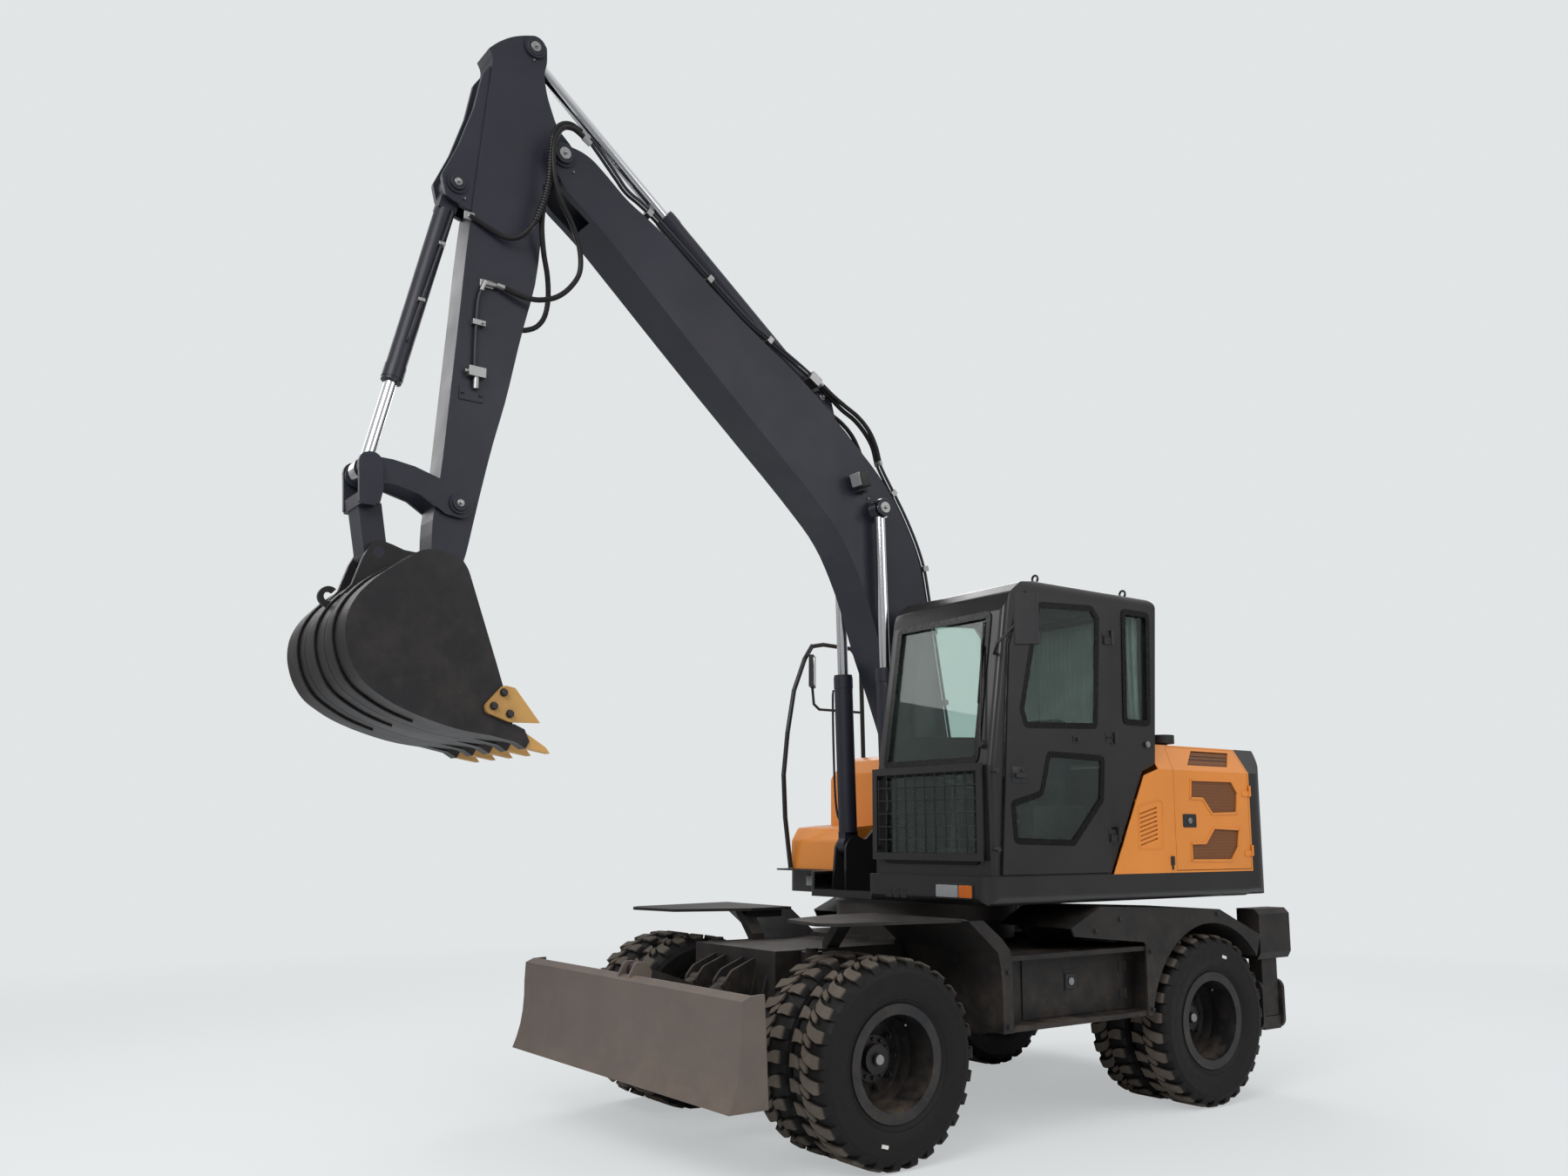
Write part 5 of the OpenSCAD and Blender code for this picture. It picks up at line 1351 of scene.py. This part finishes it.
@dataclass
class DriverSeat(Assembly):
    """Seat with crowned cushions, armrest consoles and the steering column."""

    crown: float = 14.0
    tuck: float = 0.05
    wheel_radius: float = 185.0
    wheel_rim: float = 13.0

    def cushion(self, name: str, low: Point, high: Point, lean: float = 0.0) -> None:
        """Makes one crowned cushion.

        Args:
            name: The piece's name.
            low: Lowest corner, in millimetres.
            high: Highest corner.
            lean: Backward lean in degrees.
        """
        mesh = bmesh.new()
        add_block(mesh, low, high, Matrix.Rotation(math.radians(-lean), 4, "X"))
        bmesh.ops.subdivide_edges(mesh, edges=list(mesh.edges), cuts=5, use_grid_fill=True)
        middle = (Vector(low) + Vector(high)) / 2
        size = (Vector(high) - Vector(low)) / 2
        thin = min(range(3), key=lambda k: size[k])
        for vert in mesh.verts:
            rel = vert.co - middle
            share = [abs(rel[k]) / max(size[k], 1) for k in range(3)]
            a, b, c = (s ** 4 for s in share)
            vert.co = middle + rel * (1 - self.tuck * (a * b + b * c + a * c))
            others = [share[k] for k in range(3) if k != thin]
            vert.co[thin] += math.copysign(self.crown, rel[thin]) * max(0.0, 1 - max(others) ** 2)
        piece = self.place(mesh, name, "upper", self.finishes.seat, sharp=80)
        smooth = piece.modifiers.new("soft", "SUBSURF")
        smooth.levels = smooth.render_levels = 2

    def base(self) -> None:
        """Builds the base, consoles and column, which stand for the plain seat."""
        mesh = bmesh.new()
        add_block(mesh, (520, -40, 1484), (880, 310, 1560))
        for z in (1565, 1590, 1615):
            add_block(mesh, (540, -20, z), (860, 290, z + 16))
        for x in (300, 960):
            add_block(mesh, (x, -120, 1484), (x + 120, 330, 1846))
            add_rod(mesh, (x + 60, -90, 1846), (x + 60, -96, 1980), 22, 16, 18)
            add_rod(mesh, (x + 60, -97, 1975), (x + 60, -100, 2060), 44, 20, 36)
        add_block(mesh, (620, -480, 1484), (780, -340, 1600))
        add_rod(mesh, (700, -400, 1600), (700, -335, 1985), 62, 24)
        base = self.place(mesh, "seat_base", "upper", self.finishes.plastic, edge=8.0)
        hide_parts("operator_seat")

    def steering_wheel(self) -> None:
        """Spins the steering wheel's rim and adds its spokes and hub."""
        mesh = bmesh.new()
        hub = Vector((700, -326, 2010))
        tilt = facing((0, 0.35, 1))
        around = [math.tau * k / 10 for k in range(10)]
        ring = [mesh.verts.new(hub + tilt @ Vector((self.wheel_radius + self.wheel_rim * math.cos(t), 0,
                                                    self.wheel_rim * math.sin(t)))) for t in around]
        edges = [mesh.edges.new((a, ring[(i + 1) % len(ring)])) for i, a in enumerate(ring)]
        bmesh.ops.spin(mesh, geom=ring + edges, cent=hub, axis=tilt @ Vector((0, 0, 1)), angle=math.tau, steps=48,
                       use_merge=True)
        for k in range(3):
            turn = math.tau * k / 3 + 0.5
            spoke = Vector((self.wheel_radius * math.cos(turn), self.wheel_radius * math.sin(turn), 0))
            add_rod(mesh, hub, hub + tilt @ spoke, 18, 10)
        add_rod(mesh, hub - tilt @ Vector((0, 0, 30)), hub + tilt @ Vector((0, 0, 14)), 80, 24, 64)
        self.place(mesh, "steering_wheel", "upper", self.finishes.plastic)

    def build(self) -> None:
        """Builds the seat and what the driver holds."""
        self.base()
        self.steering_wheel()
        self.cushion("seat_cushion", (450, -90, 1640), (930, 370, 1752))
        self.cushion("seat_back", (470, 318, 1770), (910, 420, 2400), 7)


# ---------------------------------------------------------------- hood


@dataclass
class HoodTrim(Assembly):
    """Grille sheets, rims, latches and locks of the engine hood, and the sheet behind its louvres."""

    half: float = 1240.0
    slope_z: float = 2083.0
    slope_in: float = 110.0
    slope_up: float = 164.0

    def grilles(self) -> None:
        """Backs every opening with perforated sheet and frames it with a raised rim."""
        middle = [(1159, 2026), (1573, 2026), (1637, 1951), (1619, 1817), (1363, 1817), (1279, 1901), (1150, 1901)]
        low = [(1375, 1715), (1639, 1715), (1621, 1598), (1542, 1514), (1140, 1514), (1141, 1630), (1293, 1630)]
        top = [(1161, 2119), (1586, 2119), (1690, 2218), (1291, 2218)]
        for side, name in SIDES:
            body = f"hood_door_{name}"
            mesh = bmesh.new()
            for outline in (middle, low):
                spread = grow_outline(outline, 16)
                add_plate(mesh, [(side * (self.half - 7.5), y, z) for y, z in spread], (-side * 1.5, 0, 0))
            spread = grow_outline(top, 12)
            flat = [(side * (self.half - 8 - (z - self.slope_z) * self.slope_in / self.slope_up), y, z - 5)
                    for y, z in spread]
            add_plate(mesh, flat, (-side * 1.4, 0, -1.0))
            self.place(mesh, f"grille_{name}", body, self.finishes.grille)
            mesh = bmesh.new()
            for outline in (middle, low):
                edge = round_outline(grow_outline(outline, 15), 9, 3)
                add_loop(mesh, [(side * (self.half - 0.5), y, z) for y, z in edge], 15, (side, 0, 0), 5)
            self.place(mesh, f"grille_rim_{name}", body, self.finishes.orange, edge=2.0)

    def latches(self) -> None:
        """Adds the latch in each door's recess, the rubber hold-down below and the side's lock."""
        for side, name in SIDES:
            mesh = bmesh.new()
            x = side * (self.half - 0.3)
            edge = round_outline([(1060, 1723), (1195, 1723), (1195, 1807), (1060, 1807)], 12)
            add_plate(mesh, [(x, y, z) for y, z in edge], (side * 3, 0, 0))
            self.place(mesh, f"latch_plate_{name}", f"hood_door_{name}", self.finishes.plastic, edge=1.0)
            mesh = bmesh.new()
            add_rod(mesh, (x + side * 3, 1128, 1765), (x + side * 9, 1128, 1765), 38, 28)
            add_rod(mesh, (x + side * 9, 1128, 1765), (x + side * 12, 1128, 1765), 20, 18)
            self.place(mesh, f"latch_{name}", f"hood_door_{name}", self.finishes.zinc, edge=2.0)
        mesh = bmesh.new()
        add_block(mesh, (self.half - 2, 925, 1490), (self.half + 9, 955, 1545))
        add_rod(mesh, (self.half + 2, 940, 1490), (self.half + 2, 940, 1462), 14, 12)
        self.place(mesh, "rubber_latch", "upper", self.finishes.plastic, edge=2.0)
        mesh = bmesh.new()
        add_rod(mesh, (self.half - 0.5, 748, 2232), (self.half + 6, 748, 2232), 40, 28, 36)
        add_block(mesh, (self.half + 5, 740, 2219), (self.half + 9, 756, 2245))
        self.place(mesh, "side_lock", "upper", self.finishes.zinc, edge=1.0)

    def louvre_back(self) -> None:
        """Closes the louvres with a sheet inside the hood."""
        mesh = bmesh.new()
        add_block(mesh, (self.half - 16, 622, 1592), (self.half - 13, 850, 1890))
        self.place(mesh, "louvre_back", "upper", self.finishes.orange)

    def build(self) -> None:
        """Builds the hood's trim."""
        self.grilles()
        self.latches()
        self.louvre_back()


# ---------------------------------------------------------------- chassis and blade


@dataclass
class ChassisTrim(Assembly):
    """The toolbox door's lock and the bolts of the fenders and toolboxes."""

    bay_x: float = 1100.0

    def toolbox_lock(self) -> None:
        """Adds the toolbox door's lock on its plate."""
        mesh = bmesh.new()
        x = self.bay_x + 11
        add_block(mesh, (x, 74, 787), (x + 6, 162, 875))
        self.place(mesh, "lock_plate", "toolbox_door", self.finishes.plastic, edge=2.0)
        mesh = bmesh.new()
        add_rod(mesh, (x + 6, 118, 831), (x + 12, 118, 831), 44, 32)
        add_rod(mesh, (x + 12, 118, 831), (x + 15, 118, 831), 22, 24)
        self.place(mesh, "toolbox_lock", "toolbox_door", self.finishes.zinc, edge=1.5)

    def fender_bolts(self) -> None:
        """Bolts the fenders and toolboxes to their brackets."""
        mesh = bmesh.new()
        for side in (-1, 1):
            for y, z in ((-522, 640), (-522, 930), (690, 640), (690, 980), (200, 1120), (420, 1180), (1360, 1180)):
                add_bolt(mesh, (side * 1240, y, z), (side, 0, 0), 24)
        self.place(mesh, "fender_bolts", "chassis", self.finishes.dark_steel)

    def build(self) -> None:
        """Builds the chassis trim."""
        self.toolbox_lock()
        self.fender_bolts()


@dataclass
class BladeTrim(Assembly):
    """Bolts of the dozer blade's cutting edge."""

    width: float = 2430.0
    margin: float = 130.0
    count: int = 10

    def bolts(self) -> None:
        """Bolts the cutting edge on."""
        mesh = bmesh.new()
        for k in range(self.count):
            x = -self.width / 2 + self.margin + k * (self.width - 2 * self.margin) / (self.count - 1)
            add_bolt(mesh, (x, -2190, 470), (0, 1, 0), 30)
        self.place(mesh, "edge_bolts", "blade", self.finishes.dark_steel)

    def build(self) -> None:
        """Builds the blade's trim."""
        self.bolts()


@dataclass
class FrontLamps(Assembly):
    """Lamps, and black plates as painted shade of the air slots, on the front of the upper body's skirt."""

    low: float = 1318.0
    high: float = 1404.0

    def pane(self, name: str, left: float, right: float, y: float, material: Material) -> None:
        """Adds one ribbed lens.

        Args:
            name: The piece's name.
            left: Its lowest X, in millimetres.
            right: Its highest X.
            y: Where its back sits.
            material: Its finish.
        """
        mesh = bmesh.new()
        edge = round_outline([(left, self.low + 9), (right, self.low + 9), (right, self.high - 9),
                              (left, self.high - 9)], 9)
        add_plate(mesh, [(x, y, z) for x, z in edge], (0, -5, 0))
        ribs = int((right - left - 16) // 12)
        for k in range(ribs):
            x = left + 12 + k * (right - left - 24) / max(1, ribs - 1)
            add_block(mesh, (x - 2, y - 7, self.low + 15), (x + 2, y - 4, self.high - 15))
        self.place(mesh, name, "upper", material, edge=0.8)

    def housings(self) -> None:
        """Makes the black housings, which stand for the plain lamp blocks."""
        mesh = bmesh.new()
        for left, right, y in ((822, 1130, -660.3), (-1000, -820, -240.3)):
            edge = round_outline([(left, self.low), (right, self.low), (right, self.high), (left, self.high)], 16)
            add_plate(mesh, [(x, y, z) for x, z in edge], (0, -6, 0))
        housing = self.place(mesh, "lamp_housings", "upper", self.finishes.plastic, edge=1.5)
        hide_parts("lamps")

    def slots(self) -> None:
        """Lays a thin black plate in each of the two rows of air slots, as painted shade of the openings."""
        mesh = bmesh.new()
        for row in range(2):
            for column in range(3):
                x, z = 376 + column * 66, 1309 + row * 32
                edge = round_outline([(x, z), (x + 56, z), (x + 56, z + 24), (x, z + 24)], 10)
                add_plate(mesh, [(a, -660.2, b) for a, b in edge], (0, -1.2, 0))
        # each black plate is painted shade standing in for an open air slot
        self.place(mesh, "skirt_slot_shade", "upper", self.finishes.plastic)

    def build(self) -> None:
        """Builds the lamps."""
        self.housings()
        self.pane("head_lens", 830, 1010, -666.3, self.finishes.lens)
        self.pane("turn_lens", 1018, 1122, -666.3, self.finishes.amber)
        self.pane("side_lens", -992, -828, -246.3, self.finishes.lens)
        self.slots()


@dataclass
class DeckTrim(Assembly):
    """Covers of the pins at the boom's and the boom cylinders' feet."""

    middle: float = -100.0

    def foot_pins(self) -> None:
        """Covers the boom's foot pin and the boom cylinders' base pins."""
        mesh = bmesh.new()
        for side in (-1, 1):
            out = Vector((side, 0, 0))
            for (y, z), reach, d in (((100, 1870), 176, 128), ((-400, 1610), 279, 92)):
                at = Vector((self.middle + side * reach, y, z))
                add_rod(mesh, at, at + out * 8, d, 32, d - 6)
                add_bolt(mesh, at + out * 8, out, 30)
        self.place(mesh, "foot_pin_covers", "upper", self.finishes.zinc, edge=1.5)

    def build(self) -> None:
        """Builds the deck's trim."""
        self.foot_pins()


# ---------------------------------------------------------------- studio


@dataclass
class Studio:
    """Camera, floor and soft light."""

    eye: Point = (6.3356, -5.6367, 1.6573)
    azimuth: float = 53.18
    pitch: float = 8.94
    lens: float = 29.124
    shift: Point = (-0.0214, 0.0321)
    backdrop: Colour = linear(226, 229, 230)
    sky: float = 0.92
    floor_glow: float = 0.55
    sky_ramp: Point = (-0.1, 0.9, 0.34, 0.92)
    fade: Point = (6.5, 13.0)
    aim: Point = (0.0, 0.0, 2.2)

    def camera(self) -> None:
        """Puts the camera at the machine's front left, a little above the wheels."""
        data = bpy.data.cameras.new("camera")
        data.lens, data.sensor_width = self.lens, 36.0
        data.shift_x, data.shift_y = self.shift
        data.clip_start, data.clip_end = 0.05, 400.0
        camera = bpy.data.objects.new("camera", data)
        camera.location = self.eye
        camera.rotation_euler = (math.radians(90 + self.pitch), 0.0, math.radians(self.azimuth))
        bpy.context.scene.collection.objects.link(camera)
        bpy.context.scene.camera = camera

    def floor(self) -> None:
        """Lays a pale floor that fades into the backdrop far from the machine."""
        mesh = bmesh.new()
        bmesh.ops.create_grid(mesh, x_segments=8, y_segments=8, size=60.0)
        data = bpy.data.meshes.new("floor")
        mesh.to_mesh(data)
        mesh.free()
        floor = bpy.data.objects.new("floor", data)
        bpy.context.scene.collection.objects.link(floor)
        n = Nodes("pale_floor")
        length = n.add("ShaderNodeVectorMath", operation="LENGTH")
        n.join(n.coords, length.inputs[0])
        diffuse = n.add("ShaderNodeBsdfDiffuse")
        colour = n.mix(n.noise(0.8, 3.0), tuple(c * 0.985 for c in self.backdrop), self.backdrop)
        n.join(colour, diffuse.inputs["Color"])
        glow = n.add("ShaderNodeEmission", Color=(*self.backdrop, 1.0))
        share = n.math("MULTIPLY", n.add("ShaderNodeLightPath").outputs["Is Camera Ray"], self.floor_glow)
        lit = n.layer(share, diffuse.outputs[0], glow.outputs[0])
        fade = n.ramp(length.outputs["Value"], *self.fade)
        surface = n.layer(fade, lit, n.add("ShaderNodeBsdfTransparent").outputs[0])
        n.join(surface, n.add("ShaderNodeOutputMaterial").inputs["Surface"])
        data.materials.append(n.material)

    def world(self) -> None:
        """Lights the scene from an even sky that shows as the backdrop's colour."""
        world = bpy.data.worlds.new("studio")
        bpy.context.scene.world = world
        n = Nodes("studio", world)
        path = n.add("ShaderNodeLightPath").outputs
        seen = n.math("MAXIMUM", path["Is Camera Ray"], path["Is Transmission Ray"])
        # light from above is stronger than light from the sides
        up = n.axis(n.coords.node.outputs["Generated"], "Z")
        sky = n.add("ShaderNodeBackground", Color=(0.98 * self.sky, 0.99 * self.sky, 1.0 * self.sky, 1.0))
        n.join(n.ramp(up, *self.sky_ramp), sky.inputs["Strength"])
        show = n.add("ShaderNodeBackground", Color=(*self.backdrop, 1.0))
        surface = n.layer(seen, sky.outputs[0], show.outputs[0])
        n.join(surface, n.add("ShaderNodeOutputWorld").inputs["Surface"])

    def lamps(self) -> None:
        """Hangs three large soft lamps and a card that the windshield mirrors."""
        for name, place, size, power in (
            ("key", (5.0, -8.5, 8.0), 5.0, 520.0),
            ("fill", (9.0, 3.0, 6.0), 6.0, 200.0),
            ("back", (-6.0, 6.0, 8.0), 5.0, 260.0),
            ("card", (-3.9, -4.4, 5.6), 2.6, 56.0),
        ):
            data = bpy.data.lights.new(name, "AREA")
            data.size, data.energy = size, power
            lamp = bpy.data.objects.new(name, data)
            lamp.location = place
            lamp.rotation_euler = (Vector(self.aim) - Vector(place)).to_track_quat("-Z", "Y").to_euler()
            bpy.context.scene.collection.objects.link(lamp)

    def build(self) -> None:
        """Sets up the whole studio."""
        self.camera()
        self.floor()
        self.world()
        self.lamps()
        bpy.context.scene.view_settings.view_transform = "Standard"
        LOG.info("studio ready")


def main() -> None:
    """Builds the studio, the finishes and every sub-assembly in order."""
    logging.basicConfig(level=logging.INFO, format="%(name)s: %(message)s")
    Studio().build()
    finishes = Finishes()
    finishes.dress_frame()
    for end, centre_y in (("front", FRONT_Y), ("rear", REAR_Y)):
        for side, name in SIDES:
            TwinWheel(finishes, wheel=f"{end}_{name}", centre_y=centre_y, side=side).build()
    for assembly in (
        BoomLines(finishes), BucketWear(finishes), CabTrim(finishes), DriverSeat(finishes), HoodTrim(finishes),
        ChassisTrim(finishes), BladeTrim(finishes), FrontLamps(finishes), DeckTrim(finishes),
    ):
        assembly.build()
        LOG.info("%s built", type(assembly).__name__)


if __name__ == "__main__":
    main()
